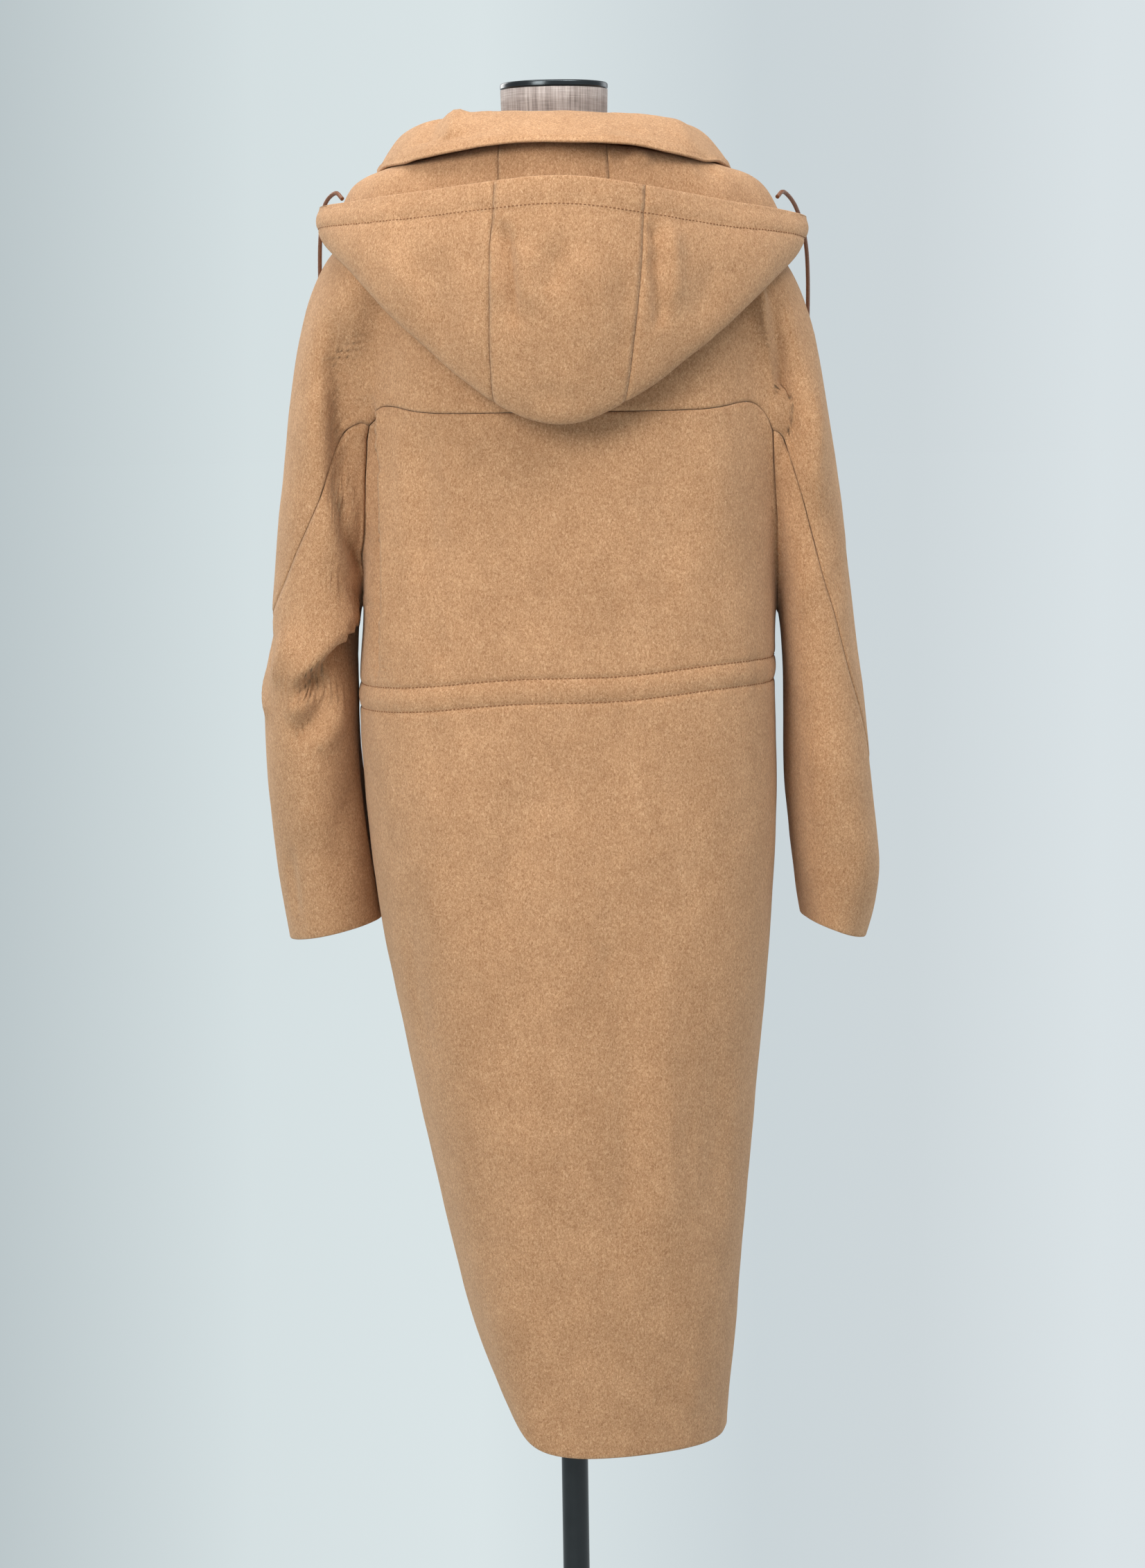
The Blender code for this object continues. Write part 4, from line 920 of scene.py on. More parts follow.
HOOD_CREASES = (
    ("b", ((48, 1474), (45, 1449), (41, 1423), (38, 1393), (35, 1366)), -9, 4.5, 8, 0, 0.25),
    ("b", ((57, 1466), (56, 1430), (52, 1386)), 5, 6, 8, 0, 0.3),
    ("b", ((28, 1450), (26, 1420), (24, 1380)), 3.4, 9, 9, 0, 0.3),
    ("b", ((-84, 1476), (-87, 1456), (-91, 1440), (-87, 1424), (-91, 1408), (-92, 1388), (-88, 1362)), -8.5, 7, 5.5, 0, 0.22),
    ("b", ((-101, 1470), (-104, 1430), (-103, 1380)), 5, 9, 8, 0, 0.3),
    ("b", ((2, 1452), (0, 1425), (4, 1396)), -5, 11, 11, 0, 0.35),
    ("b", ((-22, 1446), (-24, 1400), (-20, 1350)), 2.6, 12, 12, 0, 0.35),
    ("b", ((-50, 1534), (-64, 1526), (-84, 1520)), -5, 10, 8, 0, 0.3),
    ("b", ((-100, 1530), (-122, 1516), (-150, 1508)), 2.5, 10, 8, 0, 0.3),
    ("b", ((96, 1534), (120, 1524), (146, 1512)), 2.5, 9, 8, 0, 0.3),
    ("b", ((-34, 1450), (-38, 1400), (-34, 1330)), 2.4, 16, 16, 0, 0.35),
    ("b", ((-62, 1430), (-60, 1380), (-58, 1330)), -2.2, 12, 12, 0, 0.35),
    ("b", ((118, 1452), (112, 1410), (96, 1360)), -2.6, 20, 18, 0, 0.35),
    ("b", ((152, 1446), (140, 1420), (124, 1390)), 2.2, 14, 14, 0, 0.35),
    ("b", ((84, 1440), (80, 1390), (74, 1330)), 2.2, 16, 14, 0, 0.35),
    ("b", ((-140, 1436), (-136, 1400), (-120, 1366)), -2.4, 16, 14, 0, 0.35),
    ("b", ((30, 1320), (0, 1304), (-36, 1312)), -2.0, 12, 12, 0, 0.35),
)


COLLAR_CREASES = (
    ("n", ((88, 62, 1572), (89, 84, 1566), (92, 112, 1546)), -5.5, 9, 8, 0, 0.15),
    ("n", ((108, 52, 1572), (112, 74, 1566), (118, 98, 1542)), 3.5, 10, 8, 0, 0.15),
    ("n", ((62, 76, 1574), (62, 96, 1568), (64, 130, 1546)), 2.0, 14, 12, 0, 0.2),
    ("n", ((-60, 78, 1572), (-62, 98, 1566), (-66, 132, 1542)), 1.5, 16, 14, 0, 0.2),
    ("n", ((-112, 50, 1566), (-118, 72, 1560), (-126, 98, 1536)), -2.2, 12, 12, 0, 0.2),
)


def apply_creases(cloth, table):
    tree = cloth.tree()
    for face, stops, *sizes in table:
        crease(cloth, tree, stops, face, *sizes)
    cloth.refresh()


def undulation(points, layers):
    """Small unevenness of hung cloth: (wavelength, height) in mm."""
    out = np.zeros(len(points))
    for wave, high in layers:
        scaled = points / (wave * MM)
        scaled[:, 2] *= 0.7
        out += np.array([noise.noise(p) for p in scaled.tolist()]) * high * MM
    return out


def seam_relief(cloth, groove=0.55, width=1.5, ridge=0.35):
    """Each seam sinks in a narrow groove between the soft bulk of its allowances."""
    ends, _, _ = cloth.seams()
    stops = cloth.points[np.unique(ends)]
    middle = (cloth.points[ends[:, 0]] + cloth.points[ends[:, 1]]) / 2.0
    far = far_from(cloth.points.tolist(), np.vstack([stops, middle]).tolist()) / MM
    return (ridge * np.exp(-((far / 7.0) ** 2)) - (groove + ridge) * np.exp(-((far / width) ** 2))) * MM


# ---------------------------------------------------------------- the waist casing
def casing_lines(x):
    """Heights of the casing's two stitch lines, in m: it climbs a little to the right."""
    upper = 1.0548 - 0.050 * x + 0.0016 * np.sin(x * 31.0)
    return upper, upper - 0.0225


def casing_relief(cloth):
    x, z = cloth.points[:, 0], cloth.points[:, 2]
    body = np.clip(-cloth.values["place"] * 4.0, 0.0, 1.0)
    upper, lower = casing_lines(x)
    out = np.zeros(len(x))
    close = np.flatnonzero((body > 0.0) & (np.abs(z - (upper + lower) / 2.0) < 0.05))
    for line in (upper, lower):
        off = (z - line)[close] / MM
        out[close] -= 1.25 * np.exp(-((off / 1.7) ** 2))
        out[close] -= 0.5 * np.exp(-((off / 5.0) ** 2))
    out[close] += 1.0 * np.exp(-((((z - (upper + lower) / 2.0)[close] / MM) / 7.0) ** 2))
    # small puckers that the stitching draws in, fading away from it
    p = cloth.points[close]
    around = np.arctan2(p[:, 0], p[:, 1]) * 0.19
    nearest = np.minimum(np.abs(z - upper), np.abs(z - lower))[close] / MM
    pucker = np.array([noise.noise((a / 0.011, h / 0.05, 3.0)) + 0.6 * noise.noise((a / 0.024, h / 0.08, 7.0)) for a, h in zip(around, p[:, 2])])
    out[close] += 1.0 * pucker * np.exp(-((nearest / 9.0) ** 2))
    return out * body * MM


# ---------------------------------------------------------------- walls of cloth
def grid_mesh(name, points, quads, material, smooth_angle=None):
    mesh = bpy.data.meshes.new(name)
    mesh.vertices.add(len(points))
    mesh.vertices.foreach_set("co", np.asarray(points, np.float32).ravel())
    mesh.loops.add(len(quads) * 4)
    mesh.loops.foreach_set("vertex_index", np.asarray(quads, np.int32).ravel())
    mesh.polygons.add(len(quads))
    mesh.polygons.foreach_set("loop_start", np.arange(0, len(quads) * 4, 4, dtype=np.int32))
    mesh.update(calc_edges=True)
    mesh.validate()
    mesh.shade_smooth()
    mesh.materials.append(material)
    return link(bpy.data.objects.new(name, mesh))


def wall(cloth, name, keep, seam, sink=None, roll=4):
    """A wall of cloth on these faces, its inside a thickness in. It is drawn back half
    the gap from each seam, and its free edges are half rounds."""
    faces = cloth.faces[keep]
    points, normals = cloth.points.copy(), cloth.normals
    ends, face = rim_of(faces)
    along = points[ends[:, 1]] - points[ends[:, 0]]
    along /= np.maximum(np.linalg.norm(along, axis=1), 1e-12)[:, None]
    inward = points[faces[face]].mean(axis=1) - points[ends].mean(axis=1)
    inward -= along * (inward * along).sum(1)[:, None]
    inward /= np.maximum(np.linalg.norm(inward, axis=1), 1e-12)[:, None]
    key = np.sort(ends, axis=1)
    key = key[:, 0].astype(np.int64) * len(points) + key[:, 1]
    where = {k: i for i, k in enumerate(seam["key"])}
    at = np.array([where.get(k, -1) for k in key])
    sewn = at >= 0
    pull, tight = np.zeros_like(points), np.zeros(len(points))
    number = np.zeros(len(points))
    free = np.zeros_like(points)
    if sewn.any():
        other = np.where((seam["label"][at[sewn], 0] == cloth.names.index(name))[:, None], seam["inward"][at[sewn], 1], seam["inward"][at[sewn], 0])
        own = inward[sewn]
        way = own - other
        way /= np.maximum(np.linalg.norm(way, axis=1), 1e-12)[:, None]
        bend = np.clip(1.0 + (own * other).sum(1), 0.0, 2.0)
        for i in range(2):
            np.add.at(pull, ends[sewn][:, i], way)
            np.maximum.at(tight, ends[sewn][:, i], bend)
            np.add.at(number, ends[sewn][:, i], 1.0)
    held = number > 0
    pull[held] /= np.maximum(np.linalg.norm(pull[held], axis=1), 1e-9)[:, None]
    for i in range(2):
        np.add.at(free, ends[~sewn][:, i], -inward[~sewn])
    loose = np.zeros(len(points), bool)
    loose[np.unique(ends[~sewn])] = True
    free[loose] /= np.maximum(np.linalg.norm(free[loose], axis=1), 1e-9)[:, None]
    points[held] += pull[held] * (SEAM_GAP / 2.0 * (1.0 + 2.0 * tight[held]))[:, None]
    points[loose & ~held] -= free[loose & ~held] * (CLOTH * 0.5)
    if sink is not None:
        points = points - normals * sink[:, None]
    used = np.unique(faces)
    new = np.full(len(points), -1, np.int64)
    new[used] = np.arange(len(used))
    outer, inner = points[used], points[used] - normals[used] * CLOTH
    count = len(used)
    verts = [outer, inner]
    quads = [new[faces], new[faces][:, ::-1] + count]
    # the rim: straight at seams, a half round at free edges
    border = np.unique(ends)
    ring = np.full(len(points), -1, np.int64)
    ring[border] = np.arange(len(border))
    start = 2 * count
    layers = []
    for step in range(1, roll):
        angle = math.pi * step / roll
        inside = (1.0 - math.cos(angle)) / 2.0
        round_out = math.sin(angle) * CLOTH * 0.5
        layers.append(points[border] - normals[border] * (CLOTH * inside) + free[border] * (np.where(held[border], 0.0, round_out))[:, None])
    verts += layers
    a, b = ends[:, 0], ends[:, 1]
    before = (new[a], new[b])
    for step in range(roll):
        if step < roll - 1:
            after = (start + step * len(border) + ring[a], start + step * len(border) + ring[b])
        else:
            after = (new[a] + count, new[b] + count)
        quads.append(np.column_stack([before[1], before[0], after[0], after[1]]))
        before = after
    return grid_mesh(name + "_cloth", np.vstack(verts), np.vstack(quads), WOOL)


def seam_table(cloth):
    ends, one, two = cloth.seams()
    points = cloth.points
    along = points[ends[:, 1]] - points[ends[:, 0]]
    along /= np.maximum(np.linalg.norm(along, axis=1), 1e-12)[:, None]
    inward = []
    for face in (one, two):
        into = points[cloth.faces[face]].mean(axis=1) - points[ends].mean(axis=1)
        into -= along * (into * along).sum(1)[:, None]
        inward.append(into / np.maximum(np.linalg.norm(into, axis=1), 1e-12)[:, None])
    key = np.sort(ends, axis=1)
    return {
        "key": (key[:, 0].astype(np.int64) * len(points) + key[:, 1]).tolist(),
        "label": np.column_stack([cloth.label[one], cloth.label[two]]),
        "inward": np.stack(inward, axis=1),
    }


def flat_size(cloth, keep):
    """Area of these faces in square metres."""
    c = cloth.points[cloth.faces[keep]]
    return float(np.linalg.norm(np.cross(c[:, 2] - c[:, 0], c[:, 3] - c[:, 1]), axis=1).sum() / 2.0)


# Cut sizes of the panels' patterns, in mm: width, length, how it is held, what it rests on.
CUTS = {
    "yoke_back": (1010, 480, "draped", ("form_torso",)),
    "back_panel": (520, 1010, "hung", ()),
    "front_left": (300, 1140, "hung", ()),
    "front_right": (360, 1140, "hung", ()),
    "sleeve_left": (440, 640, "hung", ()),
    "sleeve_right": (440, 640, "hung", ()),
    "collar": (800, 122, "folded", ()),
    "hood_middle": (150, 460, "draped", ()),
    "hood_side_left": (440, 420, "draped", ()),
    "hood_side_right": (440, 420, "draped", ()),
}
made = {}


def panels(cloth):
    seam = seam_table(cloth)
    under = cloth.values["under"]
    for index, name in enumerate(cloth.names):
        keep = cloth.label == index
        sink, own_seam = None, seam
        if name in ("front_left", "front_right"):
            pair = {cloth.names.index("front_left"), cloth.names.index("front_right")}
            lapping = np.array([set(p) == pair for p in seam["label"].tolist()])
            own_seam = {"key": [k for k, l in zip(seam["key"], lapping) if not l], "label": seam["label"][~lapping], "inward": seam["inward"][~lapping]}
        if name == "front_left":
            # It runs on under the right front as far as the far side of the lap.
            keep = keep | ((cloth.label == cloth.names.index("front_right")) & (under[cloth.faces].min(axis=1) > 0.99))
            sink = under * (CLOTH + LAP_GAP)
        obj = wall(cloth, name, keep, own_seam, sink)
        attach(obj, "root")
        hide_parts(name)
        made[name] = (obj, flat_size(cloth, keep))


# ---------------------------------------------------------------- stitches
def stitch_run(name, dots, ups, length=0.0029, pitch=0.0038, thick=0.00062, sunk=-0.0001):
    """A row of stitches along a line of points that lie on the cloth."""
    dots, ups = np.asarray(dots), np.asarray(ups)
    run = np.concatenate([[0.0], np.cumsum(np.linalg.norm(np.diff(dots, axis=0), axis=1))])
    count = int(run[-1] / pitch)
    if count < 2:
        return None
    at = (np.arange(count) + 0.5) * pitch
    centre = np.column_stack([np.interp(at, run, dots[:, k]) for k in range(3)])
    up = np.column_stack([np.interp(at, run, ups[:, k]) for k in range(3)])
    up /= np.linalg.norm(up, axis=1)[:, None]
    ahead = np.column_stack([np.interp(at + 0.001, run, dots[:, k]) for k in range(3)]) - np.column_stack([np.interp(at - 0.001, run, dots[:, k]) for k in range(3)])
    ahead -= up * (ahead * up).sum(1)[:, None]
    ahead /= np.maximum(np.linalg.norm(ahead, axis=1), 1e-12)[:, None]
    side = np.cross(up, ahead)
    points, quads = [], []
    sections = ((-0.5, 0.25, -0.9), (-0.28, 0.9, -0.15), (0.0, 1.0, 0.0), (0.28, 0.9, -0.15), (0.5, 0.25, -0.9))
    sides = 6
    block = len(sections) * sides
    for part, (along, fat, drop) in enumerate(sections):
        for k in range(sides):
            turn = 2.0 * math.pi * k / sides
            points.append(
                centre
                + ahead * (along * length)
                + side * (math.cos(turn) * thick * fat)
                + up * (math.sin(turn) * thick * 0.8 * fat - sunk + drop * thick)
            )
    cloud = np.stack(points, axis=1).reshape(-1, 3)
    base = (np.arange(count) * block)[:, None]
    for part in range(len(sections) - 1):
        for k in range(sides):
            j = (k + 1) % sides
            quads.append(base + np.array([[part * sides + k, part * sides + j, (part + 1) * sides + j, (part + 1) * sides + k]]))
    for part, flip in ((0, True), (len(sections) - 1, False)):
        for k in (0, 2):
            q = [part * sides + k, part * sides + (k + 1) % sides, part * sides + (k + 2) % sides, part * sides + (k + 3) % sides]
            quads.append(base + np.array([q[::-1] if flip else q]))
    obj = grid_mesh(name, cloud, np.vstack(quads), THREAD)
    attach(obj, "root")
    return obj


# ---------------------------------------------------------------- make the coat
coat = Cloth(body_cage(), "coat_cage", FINE)
row = coat.values["row"][coat.faces].mean(axis=1)
place = coat.values["place"][coat.faces].mean(axis=1)
cuts = np.zeros(len(coat.faces), np.int32)
cuts[(row > 3.0) & (row < 4.0)] = 2
on_body = (row > 4.0) & (place < -0.01)
for low, high, n in ((4.0, 5.0, 2), (5.0, 6.0, 1), (6.0, 7.0, 2), (7.0, 8.0, 1), (8.0, 9.0, 1), (5.36, 6.0, 4)):
    cuts[on_body & (row > low) & (row < high)] = n
coat.cut_rows(cuts)
apply_creases(coat, COAT_CREASES)
place = coat.values["place"]
movable = np.flatnonzero(place > 0.01)
body_tree = coat.tree(coat.values["place"][coat.faces].min(axis=1) < -0.01)
coat.points = clear_of(coat.points, movable, body_tree, np.full(len(coat.points), PART), depth=0.02)
coat.refresh()
coat.move(undulation(coat.points, ((70.0, 1.5), (26.0, 0.55))) + casing_relief(coat))
coat.move(seam_relief(coat))
coat_tree = coat.tree()
panels(coat)
neck = neckline(coat)

hood = Cloth(hood_cage(neck), "hood_cage", FINE)
sewn_on(hood, neck, "hood")
apply_creases(hood, HOOD_CREASES)
hood.points = clear_of(hood.points, np.flatnonzero(hood.values["under"] < 0.99), coat_tree, CLEAR * (6.0 - 4.0 * hood.values["under"]))
hood.refresh()
hood.move(undulation(hood.points, ((52.0, 1.4), (20.0, 0.5))) * (1.0 - hood.values["under"]))

collar = Cloth(collar_cage(neck), "collar_cage", FINE)
sewn_on(collar, neck, "collar")


def as_grid(cloth):
    """Point numbers by column and row of the fine grid."""
    scale = 2**FINE
    col = np.round(cloth.values["col"] * scale).astype(int)
    row = np.round(cloth.values["row"] * scale).astype(int)
    grid = np.full((col.max() + 1, row.max() + 1), -1, int)
    grid[col, row] = np.arange(len(cloth.points))
    return grid


def from_edge(cloth, grid):
    """Distance of each point from the free edge along its own column, in mm."""
    chain = cloth.points[grid]
    step = np.linalg.norm(np.diff(chain, axis=1), axis=2)
    run = np.concatenate([np.zeros((len(grid), 1)), np.cumsum(step, axis=1)], axis=1) / MM
    out = np.zeros(len(cloth.points))
    out[grid.ravel()] = run.ravel()
    return out, run


def line_at(cloth, grid, run, distance, first=0, last=None):
    """Points and normals on the cloth at a distance, in mm, from the free edge."""
    dots, ups = [], []
    for c in range(first, (len(grid) if last is None else last)):
        ids = grid[c]
        d = distance(c / 2**FINE) if callable(distance) else distance
        dots.append([np.interp(d, run[c], cloth.points[ids, k]) for k in range(3)])
        ups.append([np.interp(d, run[c], cloth.normals[ids, k]) for k in range(3)])
    return np.array(dots), np.array(ups)


HOOD_CASING = 25.0  # from the hood's edge to its stitch line, in mm
COLLAR_STITCH = 8.0
hood_grid = as_grid(hood)
off, run = from_edge(hood, hood_grid)
relief = -1.3 * np.exp(-(((off - HOOD_CASING) / 1.9) ** 2)) + 1.3 * np.exp(-(((off - HOOD_CASING * 0.5) / 9.0) ** 2)) + 1.0 * np.exp(-((off / 4.0) ** 2))
hood.move(relief * MM * (hood.values["row"] < 3.0))
hood.move(seam_relief(hood))
hood.points = clear_of(hood.points, np.flatnonzero(hood.values["under"] < 0.99), coat_tree, CLEAR * (5.0 - 3.0 * hood.values["under"]))
hood.refresh()
panels(hood)

hood_tree = hood.tree()
# It lies on the hood's inside, which is the far side of the hood's wall.
collar_grid = as_grid(collar)
under = collar.values["under"]
over_hood = BVHTree.FromPolygons(hood.points.tolist(), hood.faces[:, ::-1].tolist())
lying = np.flatnonzero((under < 0.35) & (collar.points[:, 1] > -0.05))
collar.points = clear_of(collar.points, lying, over_hood, (CLOTH + CLEAR) * (1.45 - 0.35 * under))
collar.refresh()
apply_creases(collar, COLLAR_CREASES)
collar.move(undulation(collar.points, ((46.0, 1.6), (18.0, 0.6))) * (1.0 - collar.values["under"]))
off, _ = from_edge(collar, collar_grid)
relief = -1.3 * np.exp(-(((off - COLLAR_STITCH) / 1.5) ** 2)) + 1.6 * np.exp(-(((off - 3.4) / 3.4) ** 2))
collar.move(relief * MM)
panels(collar)

# ---------------------------------------------------------------- topstitching
_, run = from_edge(hood, hood_grid)
dots, ups = line_at(hood, hood_grid, run, HOOD_CASING)
hood_stitch = stitch_run("hood_casing_stitches", dots, ups)
_, run = from_edge(collar, collar_grid)
dots, ups = line_at(collar, collar_grid, run, COLLAR_STITCH)
collar_stitch = stitch_run("collar_edge_stitches", dots, ups)

waist = []
body_tree = coat.tree(coat.values["place"][coat.faces].min(axis=1) < -0.01)
for title, which in (("upper", 0), ("lower", 1)):
    dots, ups = [], []
    for i in range(721):
        turn = 2.0 * math.pi * i / 720.0
        way = Vector((math.sin(turn), math.cos(turn), 0.0))
        z = float(casing_lines(math.sin(turn) * 0.19)[which])
        for _ in range(2):
            near, normal, _, _ = body_tree.ray_cast(Vector((0.0, 0.0, z)) + way * 0.4, -way)
            if near is None:
                break
            z = float(casing_lines(near.x)[which])
        if near is not None:
            dots.append(near[:])
            ups.append(normal[:])
    stitches = stitch_run("waist_casing_stitches_" + title, dots, ups)
    waist.append(stitches)

goes_with = {"hood_middle": [hood_stitch], "collar": [collar_stitch], "back_panel": waist}
for name, (obj, area) in made.items():
    width, length, held, rests = CUTS[name]
    share = area / (width * length * MM * MM)
    print("cut", name, "area", round(area, 4), "share of its rectangle", round(share, 3))
    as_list(goes_with.get(name, ()))

# ---------------------------------------------------------------- dress form and stand
FORM = (
    # z    hw   yb    yf
    (800, 128, 88, -86),
    (806, 136, 94, -92),
    (900, 150, 100, -96),
    (1000, 132, 84, -84),
    (1080, 118, 74, -78),
    (1180, 128, 84, -98),
    (1290, 150, 98, -116),
    (1370, 168, 92, -104),
    (1412, 178, 78, -88),
    (1438, 183, 66, -72),
    (1455, 178, 56, -60),
    (1468, 152, 50, -54),
    (1476, 122, 49, -52),
    (1486, 86, 49, -51),
    (1496, 62, 50, -51),
    (1514, 53, 51, -51),
    (1542, 49, 49, -49),
    (1593.5, 50, 50, -50),
)


def form_body():
    """The form's rings, with three more between each two, and closed flat ends."""
    table = np.array(FORM, float)
    z = table[:, 0]
    at = np.concatenate([np.linspace(a, b, 5)[:-1] for a, b in zip(z, z[1:])] + [[z[-1]]])
    slope = np.gradient(table[:, 1:], z, axis=0)
    rows = []
    for h in at:
        i = min(int(np.searchsorted(z, h, side="right")) - 1, len(z) - 2)
        span, t = z[i + 1] - z[i], (h - z[i]) / (z[i + 1] - z[i])
        steep = (table[i + 1, 1:] - table[i, 1:]) / span
        ends = [np.where(np.sign(s) == np.sign(steep), np.sign(steep) * np.minimum(np.abs(s), 2.0 * np.abs(steep)), 0.0) for s in (slope[i], slope[i + 1])]
        rows.append(
            table[i, 1:] * (2 * t**3 - 3 * t**2 + 1) + ends[0] * span * (t**3 - 2 * t**2 + t) + table[i + 1, 1:] * (3 * t**2 - 2 * t**3) + ends[1] * span * (t**3 - t**2)
        )
    sides, points, quads = 96, [], []
    for h, (hw, yb, yf) in zip(at, rows):
        cy, b = (yb + yf) / 2.0, (yb - yf) / 2.0
        square = 2.0 / (2.0 + 0.25 * min(1.0, max(0.0, (1500.0 - h) / 120.0)))
        for j in range(sides):
            turn = 2.0 * math.pi * j / sides
            points.append((hw * MM * signed_power(math.sin(turn), square), (cy + b * signed_power(math.cos(turn), square)) * MM, h * MM))
    for k in range(len(at) - 1):
        for j in range(sides):
            i = (j + 1) % sides
            quads.append((k * sides + i, k * sides + j, (k + 1) * sides + j, (k + 1) * sides + i))
    # flat ends, ring in ring
    for k, down in ((0, True), (len(at) - 1, False)):
        ring = [k * sides + j for j in range(sides)]
        hub = np.array([points[i] for i in ring]).mean(axis=0)
        for share in (0.96, 0.6, 0.02):
            fresh = []
            for j in range(sides):
                p = np.array(points[k * sides + j])
                fresh.append(len(points))
                points.append(tuple(hub + (p - hub) * share))
            for j in range(sides):
                i = (j + 1) % sides
                q = (ring[j], ring[i], fresh[i], fresh[j])
                quads.append(q if down else q[::-1])
            ring = fresh
        quads_end = [(ring[j], ring[j + 1], ring[sides - 2 - j], ring[sides - 1 - j]) for j in range(sides // 2 - 1)]
        quads += quads_end if down else [q[::-1] for q in quads_end]
    obj = grid_mesh("form_torso_cover", points, quads, LINEN)
    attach(obj, "root")
    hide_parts("form_torso")


def turned(name, profile, material, node, steps=96):
    """A solid turned about the Z axis. The profile runs down its outer side."""
    mesh = bpy.data.meshes.new(name)
    pts = [(r, 0.0, z) for r, z in profile]
    mesh.from_pydata(pts, [(i, i + 1) for i in range(len(pts) - 1)], [])
    obj = link(bpy.data.objects.new(name, mesh))
    screw = obj.modifiers.new("turn", "SCREW")
    screw.axis = "Z"
    screw.steps = screw.render_steps = steps
    screw.use_merge_vertices = True
    screw.merge_threshold = 0.00005
    screw.use_smooth_shade = True
    bpy.context.view_layer.update()
    final = bpy.data.meshes.new_from_object(obj.evaluated_get(bpy.context.evaluated_depsgraph_get()))
    obj.modifiers.clear()
    obj.data = final
    final.shade_smooth()
    final.set_sharp_from_angle(angle=math.radians(38))
    final.materials.clear()
    final.materials.append(material)
    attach(obj, "root")
    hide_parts(node)
    return obj


def arc(cx, cz, r, start, end, count=5):
    """Points of a small round in a profile, angles in degrees from +X."""
    return [(cx + r * math.cos(math.radians(a)), cz + r * math.sin(math.radians(a))) for a in np.linspace(start, end, count)]


form_body()
top = NECK_TOP + 0.0003
lid = NECK_R + 0.0002
turned(
    "neck_cap_rim",
    [(0.0, top + CAP_H - 0.0012), (lid - 0.0065, top + CAP_H - 0.0012), (lid - 0.0058, top + CAP_H - 0.0004)]
    + arc(lid - 0.0022, top + CAP_H - 0.0022, 0.0022, 100, 0, 7)
    + [(lid, top + 0.0012), (lid - 0.001, top), (0.0, top)],
    STEEL,
    "neck_cap",
    128,
)
bottom = FORM[0][0] * MM - 0.0003
turned("pole_tube", [(0.0, bottom), (POLE_R, bottom), (POLE_R, 0.052), (POLE_R, FOOT_H + 0.0003), (0.0, FOOT_H + 0.0003)], POLE, "pole")
turned(
    "foot_plate_disc",
    [(0.0, FOOT_H), (FOOT_R - 0.006, FOOT_H)] + arc(FOOT_R - 0.004, FOOT_H - 0.004, 0.004, 88, 0, 7) + [(FOOT_R, 0.001), (FOOT_R - 0.001, 0.0), (0.0, 0.0)],
    FOOT,
    "foot_plate",
    160,
)


# ---------------------------------------------------------------- studio
def wall_tone(tree, window):
    """The pale blue-grey studio, lighter towards the right, by place in the picture."""
    split = tree.nodes.new("ShaderNodeSeparateXYZ")
    tree.links.new(window, split.inputs[0])
    ramp = tree.nodes.new("ShaderNodeValToRGB")
    elements = ramp.color_ramp.elements
    stops = ((0.0, (0.500, 0.565, 0.585)), (0.22, (0.665, 0.740, 0.755)), (0.42, (0.700, 0.775, 0.790)), (0.66, (0.590, 0.655, 0.682)), (0.80, (0.612, 0.670, 0.695)), (0.96, (0.700, 0.760, 0.785)))
    while len(elements) < len(stops):
        elements.new(0.5)
    for element, (at, colour) in zip(elements, stops):
        element.position = at
        element.color = (*colour, 1.0)
    tree.links.new(split.outputs["X"], ramp.inputs["Fac"])
    return ramp.outputs["Color"]


def studio_floor():
    s = Shader("floor_pale", 0.95, Specular_IOR_Level=0.0)
    # It glows with the wall's own tone, so that no edge shows, and a painted shadow darkens it round the foot.
    sight = s.node("TexCoord")
    tone = wall_tone(s.tree, sight.outputs["Window"])
    apart = s.node("VectorMath", operation="LENGTH")
    s.link(s.coords, apart.inputs[0])
    # painted contact shadow: the glow is darkened close round the foot, by distance from the stand's axis
    painted_foot_shadow = s.ramp(apart.outputs["Value"], (0.19, (0.66, 0.68, 0.70)), (0.26, (0.86, 0.87, 0.88)), (0.44, (1.0, 1.0, 1.0)))
    s.link(s.mix(1.0, tone, painted_foot_shadow, "MULTIPLY"), s.bsdf.inputs["Emission Color"])
    s.bsdf.inputs["Emission Strength"].default_value = 1.0
    cloud = s.noise(s.coords, 0.6, 2.0)
    s.finish(s.ramp(cloud, (0.3, (0.0040, 0.0044, 0.0046)), (0.7, (0.0050, 0.0054, 0.0056))))
    rings, sides = (0.0001, 0.5, 1.5, 4.0, 12.0, 60.0), 64
    points = [(r * math.cos(2 * math.pi * j / sides), r * math.sin(2 * math.pi * j / sides), -0.0005) for r in rings for j in range(sides)]
    quads = [(k * sides + j, (k + 1) * sides + j, (k + 1) * sides + (j + 1) % sides, k * sides + (j + 1) % sides) for k in range(len(rings) - 1) for j in range(sides)]
    obj = grid_mesh("studio_floor", points, quads, s.mat)
    obj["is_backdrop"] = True


studio_floor()
scene = bpy.context.scene
scene.view_settings.view_transform = "Standard"
scene.view_settings.look = "None"
scene.view_settings.exposure = 0.0
scene.view_settings.gamma = 1.0

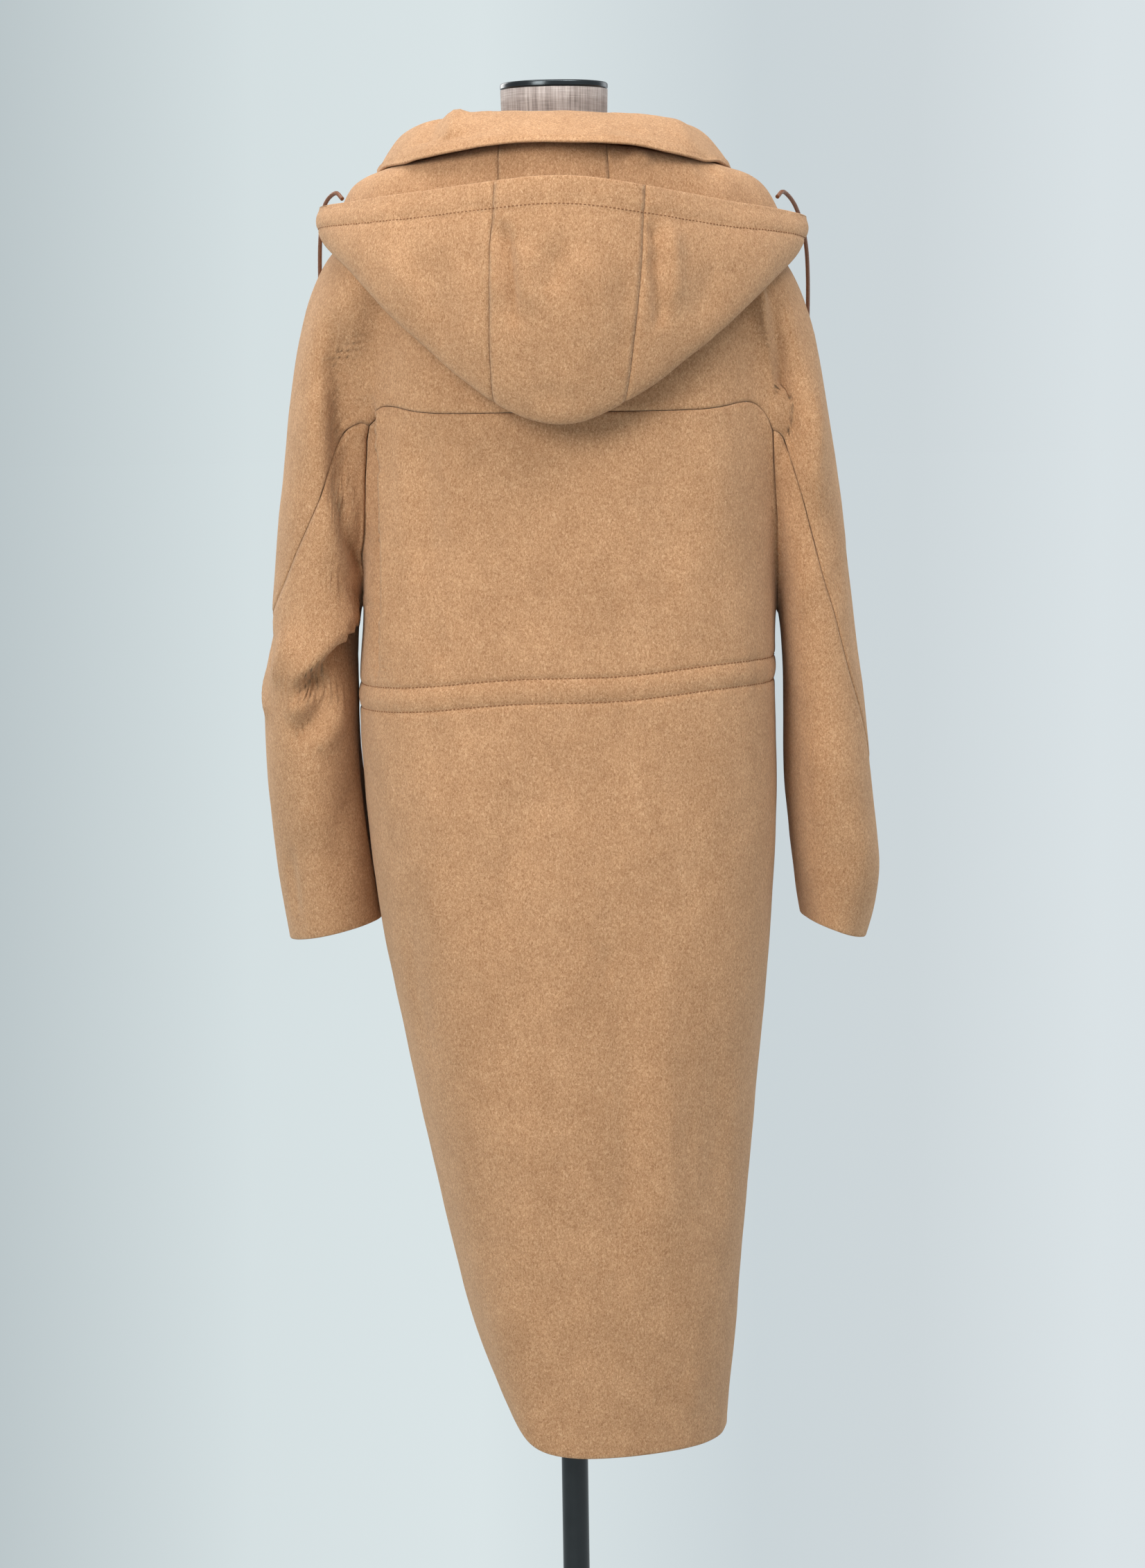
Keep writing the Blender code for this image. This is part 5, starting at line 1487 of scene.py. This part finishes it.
world = bpy.data.worlds.new("studio")
scene.world = world
world.use_nodes = True
tree = world.node_tree
background = tree.nodes["Background"]
path = tree.nodes.new("ShaderNodeLightPath")
shown = tree.nodes.new("ShaderNodeBackground")
sight = tree.nodes.new("ShaderNodeTexCoord")
tree.links.new(wall_tone(tree, sight.outputs["Window"]), shown.inputs["Color"])
background.inputs["Color"].default_value = (0.90, 0.95, 1.0, 1.0)
background.inputs["Strength"].default_value = 0.42
either = tree.nodes.new("ShaderNodeMixShader")
tree.links.new(path.outputs["Is Camera Ray"], either.inputs[0])
tree.links.new(background.outputs[0], either.inputs[1])
tree.links.new(shown.outputs[0], either.inputs[2])
tree.links.new(either.outputs[0], tree.nodes["World Output"].inputs["Surface"])


def softbox(name, at, target, size, power, colour):
    light = bpy.data.lights.new(name, "AREA")
    light.shape = "RECTANGLE"
    light.size, light.size_y = size
    light.energy = power
    light.color = colour
    obj = link(bpy.data.objects.new(name, light))
    obj.location = at
    obj.rotation_euler = (Vector(at) - Vector(target)).to_track_quat("Z", "Y").to_euler()
    obj.visible_camera = False


softbox("key_left", (2.1, 3.2, 2.9), (0.0, 0.0, 1.1), (1.6, 2.0), 112.0, (1.0, 0.97, 0.93))
softbox("fill_right", (-1.7, 1.9, 4.4), (0.0, 0.0, 1.25), (1.6, 1.6), 60.0, (1.0, 0.98, 0.96))
softbox("top", (0.2, 0.3, 4.0), (0.0, 0.0, 1.3), (2.2, 1.6), 52.0, (1.0, 0.99, 0.98))
softbox("front_left", (2.4, -3.4, 2.4), (0.0, 0.0, 1.0), (2.0, 2.4), 62.0, (1.0, 0.97, 0.94))
softbox("front_right", (-2.8, -3.0, 1.8), (0.0, 0.0, 0.9), (2.0, 2.6), 22.0, (0.95, 0.98, 1.0))

# ---------------------------------------------------------------- finish
total = 0
graph = bpy.context.evaluated_depsgraph_get()
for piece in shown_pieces():
    mesh = piece.evaluated_get(graph).to_mesh()
    mesh.calc_loop_triangles()
    count = len(mesh.loop_triangles)
    total += count
    print("triangles", piece.name, count)
    piece.evaluated_get(graph).to_mesh_clear()
print("triangles in all", total)
